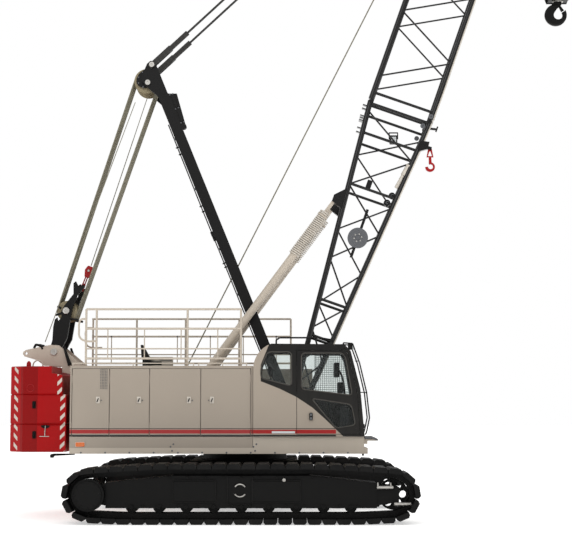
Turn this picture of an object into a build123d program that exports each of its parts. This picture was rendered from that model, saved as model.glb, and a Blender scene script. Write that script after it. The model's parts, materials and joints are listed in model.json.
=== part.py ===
from build123d import *
import os
from math import atan2, cos, degrees, hypot, pi, radians, sin

# Crawler crane with a lattice boom held by a live mast. Millimetres, +Z up, +X towards the boom,
# -Y is the operator's side. Everything is placed from the swing axis on the ground, and the
# finished machine is moved along X so that the origin lies under the middle of its length.

# ---------------------------------------------------------------- undercarriage
track_gauge = 4000            # centre to centre of the two tracks
shoe_width = 910
shoe_height = 90
shoe_count = 51
shoe_gap = 12                 # open joint between two shoes
chain_width = 320
chain_height = 85
wheel_spread = 5110           # drive sprocket to idler
wheel_height = 482            # axle height of both
wheel_path_radius = 362       # of the shoes' inner faces round a wheel
track_top = 1003
track_level_half = 1350       # half of the level stretch on top
track_foot_half = 1950        # half of the stretch that lies on the ground
frame_width = 520             # side frame, across
frame_wall = 80
frame_bottom = 262
frame_top = 800
frame_nose = 25               # side frame's ends stand off the wheels by this
frame_panels = ((-1140, -430), (180, 1000))       # raised plates on the walls
panel_height = 14
adjuster_radius = 27          # track adjuster's rod beside the idler
roller_radius = 105
roller_count = 9
roller_pitch = 460
axle_radius = 35
sprocket_teeth = 13
tooth_height = 45
drive_cover_radius = 270
drive_cover_depth = 150
idler_hole_radius = 62
carbody_half_length = 950
carbody_bottom = 420
carbody_top = 1000
beam_width = 460              # the two cross beams of the carbody
beam_height = 380
ring_radius = 760
ring_bore = 560

# ---------------------------------------------------------------- upper frame
deck_bottom = 1141
deck_top = 1241
deck_half_width = 1500
deck_rear = -3000
deck_front = 2166
bay_half_width = 700          # open bay between the two houses
girder_y = 690                # outer face of a main girder
girder_thickness = 40
girder_top = 1900
girder_front = 1250
plate_thickness = 50
boom_foot_x = 835
boom_foot_z = 1620
boom_angle = 70.6             # above the horizontal, as parked
mast_foot_x = 945
mast_foot_z = 1620
pin_radius = 45
running = 6                   # clearance of moving pieces
seat = 0.3                    # clearance of pieces that rest on each other

# ---------------------------------------------------------------- houses and doors
house_top = 2662
house_wall = 40
house_front = 172             # operator's side; the cab stands in front of it
left_house_front = 1250
door_bottom = 1440
door_top = 2610
door_gap = 14                 # open seam round a door
door_post = 68                # width of the posts behind the seams
right_doors = (               # name, rear seam, front seam, hinged at the rear seam
    ("right_door_1", -2966, -2316, True),
    ("right_door_2", -2316, -1620, True),
    ("right_door_3", -1620, -731, True),
    ("right_door_4", -731, 138, False),
)
left_doors = (
    ("left_door_1", -2966, -2316, True),
    ("left_door_2", -2316, -1620, True),
    ("left_door_3", -1620, -731, True),
    ("left_door_4", -731, 138, False),
)
hinge_radius = 4              # slim barrel in the seam, level with the outer face
hinge_play = 0.5
hinge_length = 150            # a middle knuckle on the door between two on the house
hinge_web = 4
latch_width = 60
latch_height = 110
latch_inset = 190             # from the door's free edge
latch_level = 2068
hinge_levels = (1600, 2430)

roof_rails = ((-2960, -860), (-770, 65))          # low rails along the roof's edges
winch_height = 1640
winches = (                   # name, place, drum radius, width, flange radius
    ("front_winch", -250, 250, 860, 360),
    ("rear_winch", -1780, 250, 860, 360),
    ("boom_hoist_winch", -2460, 200, 760, 280),
)

# ---------------------------------------------------------------- counterweight
weight_rear = -4079
weight_front = -3069
weight_half_width = 1482
weight_levels = (1170, 1650, 2165, 2655)      # bottom, two joints, top
weight_corner = 259           # flat across each rear corner
weight_edge = 14              # bevel along the joints
weight_panel = 18             # raised side panels of the two lower blocks
weight_panel_rear = -3564
weight_notch = ((-3140, 2165), (-3145, 2501), (-3328, 2536), (-3330, 2655))     # top block's front

# ---------------------------------------------------------------- cab
cab_outer_y = -1550
cab_inner_y = -700
cab_wall = 45
cab_rear = 180
cab_bottom = 1440
cab_roof = 3045
cab_front_top = 1825
cab_front_bottom = 2112
cab_corner = 420              # round of the roof's rear corner
glass_thickness = 6
cab_door_rear = 939
cab_door_front = 2030
cab_door_bottom = 1480
cab_door_top = 2985
cab_door_gap = 8
cab_hinge_x = 2040
cab_hinge_out = 14            # its axis stands off the cab's outer face
cab_hinge_radius = 10
cab_hinge_levels = (          # height, strap's rear end
    (1560, 1965),
    (2080, 1935),
)

# ---------------------------------------------------------------- boom
boom_length = 13720
base_length = 6100
boom_depth = 1270             # outside, square
chord_radius = 48
lace_radius = 16
frame_bar_radius = 26         # square frames of thicker bars across the boom
lace_offset = 80              # between the nodes of side and cross faces
base_stations = (0.125, 0.203, 0.293, 0.382, 0.507, 0.618, 0.735, 0.858, 0.965)   # shares of the base's length
base_frames = (0.115, 0.272, 0.382, 0.738, 0.897, 0.988)
top_pitch = 650
top_taper = 3300              # length of the top section's narrowing end
boom_foot_half = 520          # half the spread of the two boom feet
foot_depth = 75               # half the depth of the chords' centres at the foot
boom_ear_half = 70            # half the width of one foot ear
taper_start = 9900            # the open throat of the top section starts here
nose_drop = 514               # head shaft in front of the boom's centre line
head_sheave_radius = 330
head_sheave_width = 60
head_sheave_count = 5
head_pin_radius = 60
peak_u = 13800                # pendant pin at the boom's peak, along and behind
peak_w = 290
peak_pin_radius = 35
joint_pin_radius = 32         # ends of the pins that join the two sections
bridle_lugs = (0.929, 0.943, 0.9645, 0.9755)      # plates on the rear chords, shares of the base's length
hook_bracket = (5580, -735)   # pin of the whip hook's link, along and in front
whip_pin_radius = 15
whip_radius = 88
guide_rollers = ((0.745, 95), (0.72, 125))        # share of the base's length, height above the front chord
guide_roller_radius = 62
reel_share = 0.589
reel_radius = 185
reel_offset = lace_radius + 6  # outer face of its bar, past the lattice's plane

# ---------------------------------------------------------------- mast, bail and rigging
mast_lean = 22.1
mast_depth = 200
mast_leg_width = 110
mast_foot_half = 365          # half the spread of the two legs
mast_plate = 60               # head plates, thinner than the legs
mast_head_u = 6940            # sheave shaft along the mast, and behind its centre line
mast_head_w = 187
mast_pin_u = 7148
mast_box = (5860, 6535)       # housing on the near leg, along the mast
mast_pegs = (3226, 4361, 5539)
mast_bracket = 3805
mast_sheave_radius = 230
mast_sheave_count = 8
horn_eye = (-3965, 2915)      # towing eye behind the bail's pin
horn_eye_radius = 24
horn_play = 36                # horns stand off the top block by this
bail_pin_x = -3464
bail_pin_z = 2942
bail_shaft_x = -3261
bail_shaft_z = 3696
bail_half = 300
bail_fork_reach = 550         # from the sheave shaft to the fork's tips
bail_sheave_radius = 190
bail_sheave_count = 7
pendant_radius = 21
socket_radius = 48
stop_half = 575               # half the spread of the backstops
stop_foot_x = -1330
stop_foot_z = 1700
stop_eye_u = 4130             # eye along the boom
stop_eye_rise = 128           # and above the rear chord
stop_tip_half = 32
stop_tube_length = 3900
stop_tube_radius = 70
stop_bore = 52
stop_rod_radius = 45
stop_piston = 60              # guide on the rod's inner end
piston_clearance = 0.8
spring_radius = 78

# ---------------------------------------------------------------- hook
falls = 5300                  # head shaft down to the hook's bottom
hook_outer = 207              # radius of the hook's round back
hook_bore = 84                # and of its opening, in line with the shank
hook_offset = 46              # between the two centres
hook_thickness = 100
hook_chamfer = 24
shank_half = 72
shank_top = 330
hook_gap = 255                # opening's centre up to the block
block_half_width = 130
block_radius = 260
block_height = 620


chord_centre = boom_depth / 2 - chord_radius


def box(x0, x1, y0, y1, z0, z1):
    return Pos((x0 + x1) / 2, (y0 + y1) / 2, (z0 + z1) / 2) * Box(x1 - x0, y1 - y0, z1 - z0)


def plate(points, y0, y1):
    """Side outline of (x, z) points, from y0 to y1."""
    outline = Face(Wire.make_polygon([(x, y0, z) for x, z in points], close=True))
    return extrude(outline, amount=y1 - y0, dir=(0, 1, 0))


def rod(start, end, radius):
    start, end = Vector(*start), Vector(*end)
    return Solid.make_cylinder(radius, (end - start).length, Plane(start, z_dir=end - start))


def cross_rod(x, z, radius, y0, y1):
    return rod((x, y0, z), (x, y1, z), radius)


def disc(x, y, z, radius, width):
    return cross_rod(x, z, radius, y - width / 2, y + width / 2)


def fused(pieces):
    pieces = list(pieces)
    return pieces[0].fuse(*pieces[1:])


nodes = {}


def keep(name, *pieces):
    nodes[name] = Compound([s for p in pieces for s in p.solids()])


# ================================================================ undercarriage
def wheel_radius():
    """Flats of the chain's inner side stand this far from a wheel's centre, less its clearance."""
    link = track_path().length / shoe_count
    inner = wheel_path_radius - chain_height
    return (inner**2 - (link / 2 * inner / wheel_path_radius) ** 2) ** 0.5 - 2


def track_path():
    """Line of the shoes' inner faces: a belt round two wheels, the ground run and the top rollers."""
    half = wheel_spread / 2
    low = shoe_height + roller_radius
    high = track_top - shoe_height - roller_radius
    circles = (               # x, z, radius, in order round the belt
        (-track_foot_half, low, roller_radius),
        (track_foot_half, low, roller_radius),
        (half, wheel_height, wheel_path_radius),
        (track_level_half, high, roller_radius),
        (-track_level_half, high, roller_radius),
        (-half, wheel_height, wheel_path_radius),
    )
    edges, ends = [], []
    for here, there in zip(circles, circles[1:] + circles[:1]):
        dx, dz = there[0] - here[0], there[1] - here[1]
        turn = atan2(dz, dx) - pi / 2 + atan2(here[2] - there[2], hypot(dx, dz))
        out = (cos(turn), sin(turn))
        ends.append([(c[0] + c[2] * out[0], 0, c[1] + c[2] * out[1]) for c in (here, there)])
    for (start, stop), after, circle in zip(ends, ends[1:] + ends[:1], circles[1:] + circles[:1]):
        edges.append(Edge.make_line(start, stop))
        mid = Vector(*stop) + Vector(*after[0]) - 2 * Vector(circle[0], 0, circle[1])
        top = Vector(circle[0], 0, circle[1]) + mid.normalized() * circle[2]
        edges.append(Edge.make_three_point_arc(stop, top, after[0]))
    return Wire(edges)


def track(y):
    path = track_path()
    link = path.length / shoe_count
    first = (2 * track_foot_half % link) / 2          # whole links, evenly set on the ground run
    pins = [path.position_at((first / link + i) / shoe_count) for i in range(shoe_count)]
    pairs = list(zip(pins, pins[1:] + pins[:1]))
    inner, shoes = [], []
    for before, (pin, after) in zip(pins[-1:] + pins[:-1], pairs):
        along = (after - before).normalized()
        inner.append((pin + Vector(-along.Z, 0, along.X) * chain_height))
    outer_face = Face(Wire.make_polygon([(p.X, y - chain_width / 2, p.Z) for p in pins], close=True))
    inner_face = Face(Wire.make_polygon([(p.X, y - chain_width / 2, p.Z) for p in inner], close=True))
    chain = extrude(outer_face, amount=chain_width, dir=(0, 1, 0))
    chain -= extrude(inner_face, amount=chain_width, dir=(0, 1, 0))
    for pin, after in pairs:
        along = (after - pin).normalized()
        out = Vector(along.Z, 0, -along.X)
        start, stop = pin + along * shoe_gap / 2, after - along * shoe_gap / 2
        flank = shoe_height * 0.55
        lip = along * shoe_height * 0.35
        shape = (start, stop, stop + out * flank, stop - lip + out * shoe_height,
                 start + lip + out * shoe_height, start + out * flank)
        outline = Face(Wire.make_polygon([(p.X, y - shoe_width / 2, p.Z) for p in shape], close=True))
        shoes.append(extrude(outline, amount=shoe_width, dir=(0, 1, 0)))
    return fused([chain] + shoes)


def side_frame(y):
    """Channel that is open below, with the rollers between its walls."""
    slot = frame_width / 2 - frame_wall
    half = wheel_spread / 2 - wheel_radius() - frame_nose
    level = track_level_half - 200
    shape = ((-half, frame_bottom), (half, frame_bottom), (half, frame_top - 120), (level, frame_top),
             (-level, frame_top), (-half, frame_top - 120))
    body = plate(shape, y - frame_width / 2, y + frame_width / 2)
    body -= box(-half - 1, half + 1, y - slot, y + slot, frame_bottom - 1, frame_bottom + 170)
    ends = []
    for x in (-1, 1):
        for s in (-1, 1):
            cheek = ((x * (half - 1), frame_bottom + 40), (x * (wheel_spread / 2 + 90), frame_bottom + 100),
                     (x * (wheel_spread / 2 + 90), frame_top - 190), (x * (half - 1), frame_top - 130))
            ends.append(plate(cheek, y + s * (slot + 25) - 25, y + s * (slot + 25) + 25))
    skid = box(-level, level, y - chain_width / 2 + 40, y + chain_width / 2 - 40,
               frame_top - 1, track_top - shoe_height - chain_height - seat)
    side = 1 if y > 0 else -1
    wall = y + side * (frame_width / 2)
    for x0, x1 in frame_panels:
        ends.append(box(x0, x1, *sorted((wall - side, wall + side * panel_height)), frame_bottom + 110, frame_top - 95))
    rod_y = y + side * (slot + 50 + adjuster_radius - 5)
    ends.append(rod((wheel_spread / 2 - 295, rod_y, 600), (wheel_spread / 2 - 5, rod_y, 600), adjuster_radius))
    return fused([body, skid] + ends)


def roller_set(y):
    slot = frame_width / 2 - frame_wall
    height = shoe_height + chain_height + roller_radius + seat + 1
    first = -roller_pitch * (roller_count - 1) / 2
    for i in range(roller_count):
        x = first + i * roller_pitch
        yield fused([disc(x, y, height, roller_radius, chain_width - 20), disc(x, y, height, axle_radius, 2 * slot)])


def sprocket(y):
    """Toothed wheel between the end plates of the side frame."""
    radius = wheel_radius()
    teeth = [Pos(-wheel_spread / 2, y, wheel_height) * Rot(0, 360 / sprocket_teeth * i, 0)
             * Pos(radius - 3 - tooth_height / 2, 0, 0) * Box(tooth_height, 90, 60) for i in range(sprocket_teeth)]
    hub = disc(-wheel_spread / 2, y, wheel_height, radius - tooth_height + 2, 130)
    shaft = disc(-wheel_spread / 2, y, wheel_height, 110, 2 * (frame_width / 2 - frame_wall))
    return fused([hub, shaft] + teeth)


def idler(y):
    radius = wheel_radius()
    x = wheel_spread / 2
    body = disc(x, y, wheel_height, radius, 150)
    for i in range(6):
        angle = radians(60 * i)
        body -= disc(x + 165 * cos(angle), y, wheel_height + 165 * sin(angle), idler_hole_radius, 160)
    return fused([body, disc(x, y, wheel_height, 80, 2 * (frame_width / 2 - frame_wall))])


def final_drive(y, side):
    face = y + side * (frame_width / 2 - frame_wall + 50)
    cover = cross_rod(-wheel_spread / 2, wheel_height, drive_cover_radius,
                      *sorted((face, face + side * drive_cover_depth)))
    rim = cross_rod(-wheel_spread / 2, wheel_height, drive_cover_radius - 40,
                    *sorted((face + side * drive_cover_depth, face + side * (drive_cover_depth + 25))))
    return fused([cover, rim])


def carbody():
    core = box(-carbody_half_length, carbody_half_length, -900, 900, carbody_bottom, carbody_top)
    reach = track_gauge / 2 - frame_width / 2
    beams = []
    for x in (-carbody_half_length + beam_width / 2, carbody_half_length - beam_width / 2):
        beams.append(box(x - beam_width / 2, x + beam_width / 2, -reach, reach, carbody_bottom, carbody_bottom + beam_height))
    return fused([core] + beams)


def swing_ring():
    height = deck_bottom - seat - carbody_top
    ring = Pos(0, 0, carbody_top + height / 2) * Cylinder(ring_radius, height)
    bore = Pos(0, 0, carbody_top + height / 2) * Cylinder(ring_bore, height)
    return ring - bore


def build_undercarriage():
    half = track_gauge / 2
    keep("carbody", carbody())
    keep("swing_ring", swing_ring())
    for name, y in (("right", -half), ("left", half)):
        keep("track_" + name, track(y))
        keep("side_frame_" + name, side_frame(y))
    keep("rollers", *[r for y in (-half, half) for r in roller_set(y)])
    keep("drive_sprockets", sprocket(-half), sprocket(half))
    keep("idlers", idler(-half), idler(half))
    keep("final_drives", final_drive(-half, -1), final_drive(half, 1))


# ================================================================ upper frame
def upper_frame():
    """Bottom plate, two main girders, the rear wall and its horns, and the feet of boom and mast."""
    floor = deck_top - 40
    parts = [box(deck_rear, girder_front, -bay_half_width + seat, bay_half_width - seat, deck_bottom, floor)]
    girder = ((deck_rear, floor - 1), (girder_front, floor - 1), (girder_front, 1500), (1100, 1760),
              (650, 1800), (200, girder_top - 150), (-2400, girder_top), (deck_rear, girder_top + 300))
    notch = [(x + horn_play, z + horn_play) for x, z in weight_notch[:2]]
    notch += [(weight_notch[2][0] + horn_play / 2, weight_notch[2][1] + horn_play), (weight_notch[3][0] + horn_play / 2,
                                                                                    weight_notch[3][1] + horn_play)]
    eye_x, eye_z = horn_eye
    horn = [(deck_rear + 230, 1300), (deck_rear + 230, girder_top), (deck_rear + 60, 2700),
            (bail_pin_x + 90, bail_pin_z + 120), (bail_pin_x - 60, bail_pin_z + 130), (eye_x + 155, eye_z + 100),
            (eye_x - 10, eye_z + 62), (eye_x - 55, eye_z + 30), (eye_x - 62, eye_z - 12), (eye_x - 30, eye_z - 55),
            (eye_x + 200, eye_z - 125), (eye_x + 330, weight_levels[3] + horn_play)] + notch[::-1] + [
            (deck_rear, notch[0][1]), (deck_rear, 1300)]
    ear = ((mast_foot_x - 320, floor - 1), (mast_foot_x + 250, floor - 1), (mast_foot_x + 110, mast_foot_z + 90),
           (mast_foot_x - 60, mast_foot_z + 110), (mast_foot_x - 240, mast_foot_z))
    leg_inner = mast_foot_half - mast_leg_width / 2 - running
    girder_inner = girder_y - girder_thickness
    for side in (-1, 1):
        parts.append(plate(girder, *sorted((side * girder_y, side * girder_inner))))
        cheek = plate(horn, *sorted((side * (bail_half + 60), side * (bail_half + 110))))
        for x, z, radius in ((bail_pin_x, bail_pin_z, pin_radius + seat), (eye_x, eye_z, horn_eye_radius)):
            cheek -= cross_rod(x, z, radius, *sorted((side * bail_half, side * (bail_half + 120))))
        parts.append(cheek)
        parts.append(box(weight_front + seat, deck_rear + 1, *sorted((side * 300, side * 420)), floor - 60, 2100))
        parts.append(plate(ear, *sorted((side * (leg_inner - plate_thickness), side * leg_inner))))
        parts.append(cross_rod(mast_foot_x, mast_foot_z, pin_radius,
                               *sorted((side * (leg_inner - 20), side * (mast_foot_half + mast_leg_width / 2)))))
        parts.append(cross_rod(boom_foot_x, boom_foot_z, pin_radius,
                               *sorted((side * (boom_foot_half - boom_ear_half / 2 - 10), side * girder_y))))
        parts.append(cross_rod(stop_foot_x, stop_foot_z, pin_radius,
                               *sorted((side * (stop_half - 50), side * girder_y))))
    parts.append(box(deck_rear, deck_rear + 120, -bay_half_width + seat, bay_half_width - seat, floor - 1, 2600))
    for x in (-1000, 400):
        parts.append(box(x - 40, x + 40, -girder_inner - 5, girder_inner + 5, floor - 1, deck_top + 160))
    return fused(parts)


def deck(side):
    y0, y1 = sorted((side * bay_half_width, side * deck_half_width))
    slab = box(deck_rear, deck_front, y0, y1, deck_bottom, deck_top)
    for x0, x1 in ((deck_rear + 60, -900), (-840, girder_front - 60), (girder_front, deck_front - 60)):
        slab -= box(x0, x1, y0 + 60, y1 - 60, deck_bottom - 1, deck_top - 20)
    return slab


def counterweight_blocks():
    """Three stacked castings with flat rear corners; the top one is notched clear of the horns."""
    front, rear, cut, y = weight_front, weight_rear, weight_corner, weight_half_width
    for i, (low, high) in enumerate(zip(weight_levels, weight_levels[1:])):
        outline = Face(Wire.make_polygon([(front, -y, low), (rear + cut, -y, low), (rear, cut - y, low),
                                          (rear, y - cut, low), (rear + cut, y, low), (front, y, low)], close=True))
        block = extrude(outline, amount=high - low - seat, dir=(0, 0, 1))
        rims = block.faces().sort_by(Axis.Z)
        block = chamfer(rims[0].edges() + rims[-1].edges(), weight_edge)
        if i == 2:
            corner = [(front + 1, low - 1), *weight_notch[1:], (weight_notch[-1][0], high + 1), (front + 1, high + 1)]
            block -= plate([(front + 1, low - 1), (weight_notch[0][0], low - 1)] + corner[1:], -y - 1, y + 1)
        else:
            for side in (-1, 1):
                block = block.fuse(box(weight_panel_rear, front, *sorted((side * (y - 1), side * (y + weight_panel))),
                                       low + 2 * weight_edge, high - 2 * weight_edge))
        yield block


def bail_arm_shape():
    dx, dz = bail_shaft_x - bail_pin_x, bail_shaft_z - bail_pin_z
    length = hypot(dx, dz)
    return length, degrees(atan2(dz, dx))


def bail():
    """Two arms on the horns' pins with the sheave shaft between their tops."""
    length, angle = bail_arm_shape()
    tip = length + bail_fork_reach
    shape = ((-95, -60), (-60, -95), (60, -95), (300, -150), (length - 60, -105), (length + 90, -95),
             (length + 330, -115), (tip - 40, -205), (tip, -170), (tip - 75, -100), (tip + 15, -20), (tip - 30, 12),
             (length + 330, -42), (length + 90, 60), (length - 60, 90), (length - 130, 50), (length - 225, 95),
             (length - 160, 128), (length - 205, 160), (430, 150), (200, 100), (60, 100), (-60, 95), (-95, 60))
    arms = []
    for side in (-1, 1):
        y0, y1 = sorted((side * (bail_half - 35), side * (bail_half + 35)))
        arms.append(plate(shape, y0, y1))
        arms.append(cross_rod(0, 0, pin_radius, *sorted((side * bail_half, side * (bail_half + 110)))))
    arms.append(cross_rod(length, 0, 40, -bail_half, bail_half))
    arms.append(box(380, 440, -bail_half, bail_half, 60, 130))
    return Pos(bail_pin_x, 0, bail_pin_z) * Rot(0, -angle, 0) * fused(arms)


def sheaves(x, z, radius, width, count, pitch, bore):
    """Row of grooved rope wheels on one shaft."""
    for i in range(count):
        y = (i - (count - 1) / 2) * pitch
        profile = ((bore, -width / 2), (radius, -width / 2), (radius - width * 0.35, 0), (radius, width / 2),
                   (bore, width / 2))
        face = Face(Wire.make_polygon([(x + r, y + h, z) for r, h in profile], close=True))
        yield revolve(face, axis=Axis((x, y, z), (0, 1, 0)))


def winch(x, radius, width, flange):
    z = winch_height
    drum = [cross_rod(x, z, radius, -width / 2, width / 2)]
    for side in (-1, 1):
        drum.append(cross_rod(x, z, flange, *sorted((side * width / 2, side * (width / 2 + 25)))))
        drum.append(cross_rod(x, z, 60, *sorted((side * width / 2, side * (girder_y - girder_thickness - seat)))))
    return fused(drum)


def hinge_spans(level, on_door):
    """Heights of a hinge's knuckles: the middle third is the door's."""
    third = hinge_length / 3
    if on_door:
        return ((level - third / 2, level + third / 2),)
    return ((level - hinge_length / 2, level - third / 2 - seat), (level + third / 2 + seat, level + hinge_length / 2))


def door_axis(rear, front, rear_hinged):
    """Plan position of a house door's hinge axis, and the way its leaf reaches from it."""
    back = door_gap / 2 - hinge_radius - hinge_play
    return (rear + back, 1) if rear_hinged else (front - back, -1)


def house(side, front, doors):
    """Hollow machinery house: roof, ends, inner wall, and an outer side that the doors fill."""
    outer, inner = side * deck_half_width, side * bay_half_width
    y0, y1 = sorted((outer, inner))
    shell = box(deck_rear, front, y0, y1, deck_top + seat, house_top)
    shell -= box(deck_rear + house_wall, front - house_wall, y0 + house_wall, y1 - house_wall, deck_top - 1,
                 house_top - house_wall)
    o0, o1 = sorted((outer + side, outer - side * (house_wall + 1)))
    half_gap = door_gap / 2
    shell -= box(doors[0][1] - half_gap, doors[-1][2] + half_gap, o0, o1, door_bottom - half_gap, door_top + half_gap)
    posts = []
    back = outer - side * (house_wall + running)
    p0, p1 = sorted((back, back - side * plate_thickness))
    for seam in [doors[0][1]] + [d[2] for d in doors]:
        x0, x1 = seam - door_post / 2, seam + door_post / 2
        posts.append(box(x0, x1, p0, p1, door_bottom - 60, house_top - 1))
        posts.append(box(x0, x1, *sorted((outer - side * 20, back - side)), door_bottom - 60, door_bottom - door_gap))
    for name, rear_seam, front_seam, rear_hinged in doors:
        x, way = door_axis(rear_seam, front_seam, rear_hinged)
        for level in hinge_levels:
            for low, high in hinge_spans(level, False):
                web = box(x - hinge_web / 2, x + hinge_web / 2, *sorted((outer, back - side * 5)), low, high)
                posts.append(web.fuse(Pos(x, outer, (low + high) / 2) * Cylinder(hinge_radius, high - low)))
    return fused([shell] + posts)


def door(side, rear_seam, front_seam, rear_hinged):
    outer = side * deck_half_width
    rear, front = rear_seam + door_gap / 2, front_seam - door_gap / 2
    leaf = box(rear, front, *sorted((outer, outer - side * house_wall)), door_bottom, door_top)
    x, way = door_axis(rear_seam, front_seam, rear_hinged)
    knuckles = []
    for level in hinge_levels:
        for low, high in hinge_spans(level, True):
            lug = box(*sorted((x, x + way * (hinge_radius + 2))), outer - 2, outer + 2, low, high)
            knuckles.append(lug.fuse(Pos(x, outer, (low + high) / 2) * Cylinder(hinge_radius, high - low)))
    free = front - latch_inset if rear_hinged else rear + latch_inset
    latch = box(free - latch_width / 2, free + latch_width / 2, *sorted((outer + side * 9, outer - side * 5)),
                latch_level - latch_height / 2, latch_level + latch_height / 2)
    return fused([leaf, latch] + knuckles)


def cab_outline(inset=0):
    """Side outline of the cab with its rounded rear roof corner, as a face at the outer wall."""
    y = cab_outer_y
    a, b = (cab_rear, y, cab_bottom), (cab_rear, y, cab_roof - cab_corner)
    mid = (cab_rear + cab_corner * 0.25, y, cab_roof - cab_corner * 0.35)
    c, d = (cab_rear + cab_corner * 0.75, y, cab_roof), (cab_front_top - 60, y, cab_roof - 10)
    e, f = (cab_front_top + 50, y, cab_roof - 130), (cab_front_bottom, y, cab_bottom)
    g = (2038, y, 2268)
    edges = [Edge.make_line(a, b), Edge.make_three_point_arc(b, mid, c), Edge.make_line(c, d),
             Edge.make_line(d, e), Edge.make_line(e, g), Edge.make_line(g, f), Edge.make_line(f, a)]
    wire = Wire(edges)
    if inset:
        wire = wire.offset_2d(-inset, kind=Kind.INTERSECTION)
        wire = wire if isinstance(wire, Wire) else wire.wires()[0]
    return Face(wire)


cab_door_shape = ((cab_door_rear, cab_door_bottom), (cab_door_front, cab_door_bottom), (1985, 2180),
                  (1830, 2850), (1770, cab_door_top - 30), (1700, cab_door_top - 60), (cab_door_rear, cab_door_top - 60))
upper_light = ((1018, 2255), (1018, 2880), (1740, 2880), (1790, 2780), (1900, 2150))
lower_light = ((1375, 1868), (1190, 2097), (1880, 1990), (1955, 1640), (1618, 1580))
rear_light = ((313, 2448), (313, 2621), (428, 2900), (846, 2900), (846, 2310))


def grown(points, amount):
    """Outline moved outward by an amount, for a door's opening."""
    wire = Wire.make_polygon([(x, 0, z) for x, z in points], close=True)
    wire = wire.offset_2d(amount, kind=Kind.INTERSECTION)
    wire = wire if isinstance(wire, Wire) else wire.wires()[0]
    return Face(wire)


def through(face, y0, y1):
    return extrude(Pos(0, y0, 0) * face, amount=y1 - y0, dir=(0, 1, 0))


def cab_shell():
    width = cab_inner_y - cab_outer_y
    shell = extrude(cab_outline(), amount=width, dir=(0, 1, 0))
    shell -= Pos(0, cab_wall, 0) * extrude(cab_outline(cab_wall), amount=width - 2 * cab_wall, dir=(0, 1, 0))
    outer = (cab_outer_y - 1, cab_outer_y + cab_wall + 1)
    inner = (cab_inner_y - cab_wall - 1, cab_inner_y + 1)
    shell -= through(grown(cab_door_shape, cab_door_gap), *outer)
    shell -= plate(rear_light, *outer)
    shell -= plate(rear_light, *inner)
    shell -= plate(upper_light, *inner)
    shell -= box(cab_front_top - 40, cab_front_bottom + 60, cab_outer_y + 90, cab_inner_y - 90, 1560, 2860)
    shell -= box(cab_rear - 20, cab_rear + 120, cab_outer_y + 110, cab_inner_y - 110, 2000, 2560)
    lamp_y = cab_outer_y + 190
    shell = shell.fuse(box(cab_front_top + 10, cab_front_top + 100, lamp_y - 60, lamp_y + 60, cab_roof - 100, cab_roof + 2))
    y = cab_outer_y - cab_hinge_out
    for level, end in cab_hinge_levels:
        for low, high in hinge_spans(level, False):
            shell = shell.fuse(Pos(cab_hinge_x, y, (low + high) / 2) * Cylinder(cab_hinge_radius, high - low),
                               box(cab_hinge_x - 4, cab_hinge_x + 4, y, cab_outer_y + 5, low, high))
    return shell


def cab_door():
    leaf = plate(cab_door_shape, cab_outer_y, cab_outer_y + cab_wall)
    leaf -= plate(upper_light, cab_outer_y - 1, cab_outer_y + cab_wall + 1)
    leaf -= plate(lower_light, cab_outer_y - 1, cab_outer_y + cab_wall + 1)
    handle = box(1197 - 30, 1197 + 30, cab_outer_y - 22, cab_outer_y + 5, 1782 - 55, 1782 + 55)
    hinges = []
    y = cab_outer_y - cab_hinge_out
    for level, end in cab_hinge_levels:
        for low, high in hinge_spans(level, True):
            hinges.append(Pos(cab_hinge_x, y, (low + high) / 2) * Cylinder(cab_hinge_radius, high - low))
            hinges.append(box(end, cab_hinge_x, cab_outer_y - 9, cab_outer_y - 3, low, high))
            hinges.append(box(end, end + 40, cab_outer_y - 9, cab_outer_y + 3, low, high))
    return fused([leaf, handle] + hinges)


def pane(points, y):
    return through(grown(points, -seat), y, y + glass_thickness)


def cab_glass():
    mid = cab_outer_y + cab_wall / 2
    far = cab_inner_y - cab_wall / 2
    yield pane(rear_light, mid)
    yield pane(rear_light, far)
    yield pane(upper_light, far)
    yield box(cab_rear + 20, cab_rear + 20 + glass_thickness, cab_outer_y + 110 + seat, cab_inner_y - 110 - seat,
              2000 + seat, 2560 - seat)


def front_glass():
    """Windscreen in two flat panes that follow the cab's sloping front."""
    y0, y1 = cab_outer_y + 90 + seat, cab_inner_y - 90 - seat
    lean = 22
    shape = ((2038 - lean, 2268), (1889 - lean, 2860 - seat), (1889 - lean - 7, 2860 - seat), (2038 - lean - 7, 2268),
             (2101 - lean - 7, 1560 + seat), (2101 - lean, 1560 + seat))
    return plate(shape, y0, y1)


def seat_solids():
    y = (cab_outer_y + cab_inner_y) / 2
    x = 760
    floor = cab_bottom + cab_wall
    base = box(x - 180, x + 180, y - 170, y + 170, floor, floor + 320)
    cushion = box(x - 240, x + 270, y - 240, y + 240, floor + 320 + seat, floor + 440)
    back = box(x - 340, x - 240 - seat, y - 230, y + 230, floor + 380, floor + 1000)
    rest = box(x - 335, x - 250, y - 130, y + 130, floor + 1000 + seat, floor + 1200)
    return base, cushion, back, rest


def consoles():
    y = (cab_outer_y + cab_inner_y) / 2
    floor = cab_bottom + cab_wall
    for s in (-1, 1):
        yield box(620, 1130, *sorted((y + s * 262, y + s * 370)), floor, floor + 560)
    yield box(1700, 1840, y - 200, y + 200, floor, floor + 420)


def rail_run(points, radius):
    return [rod(a, b, radius) for a, b in zip(points, points[1:])]


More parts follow.
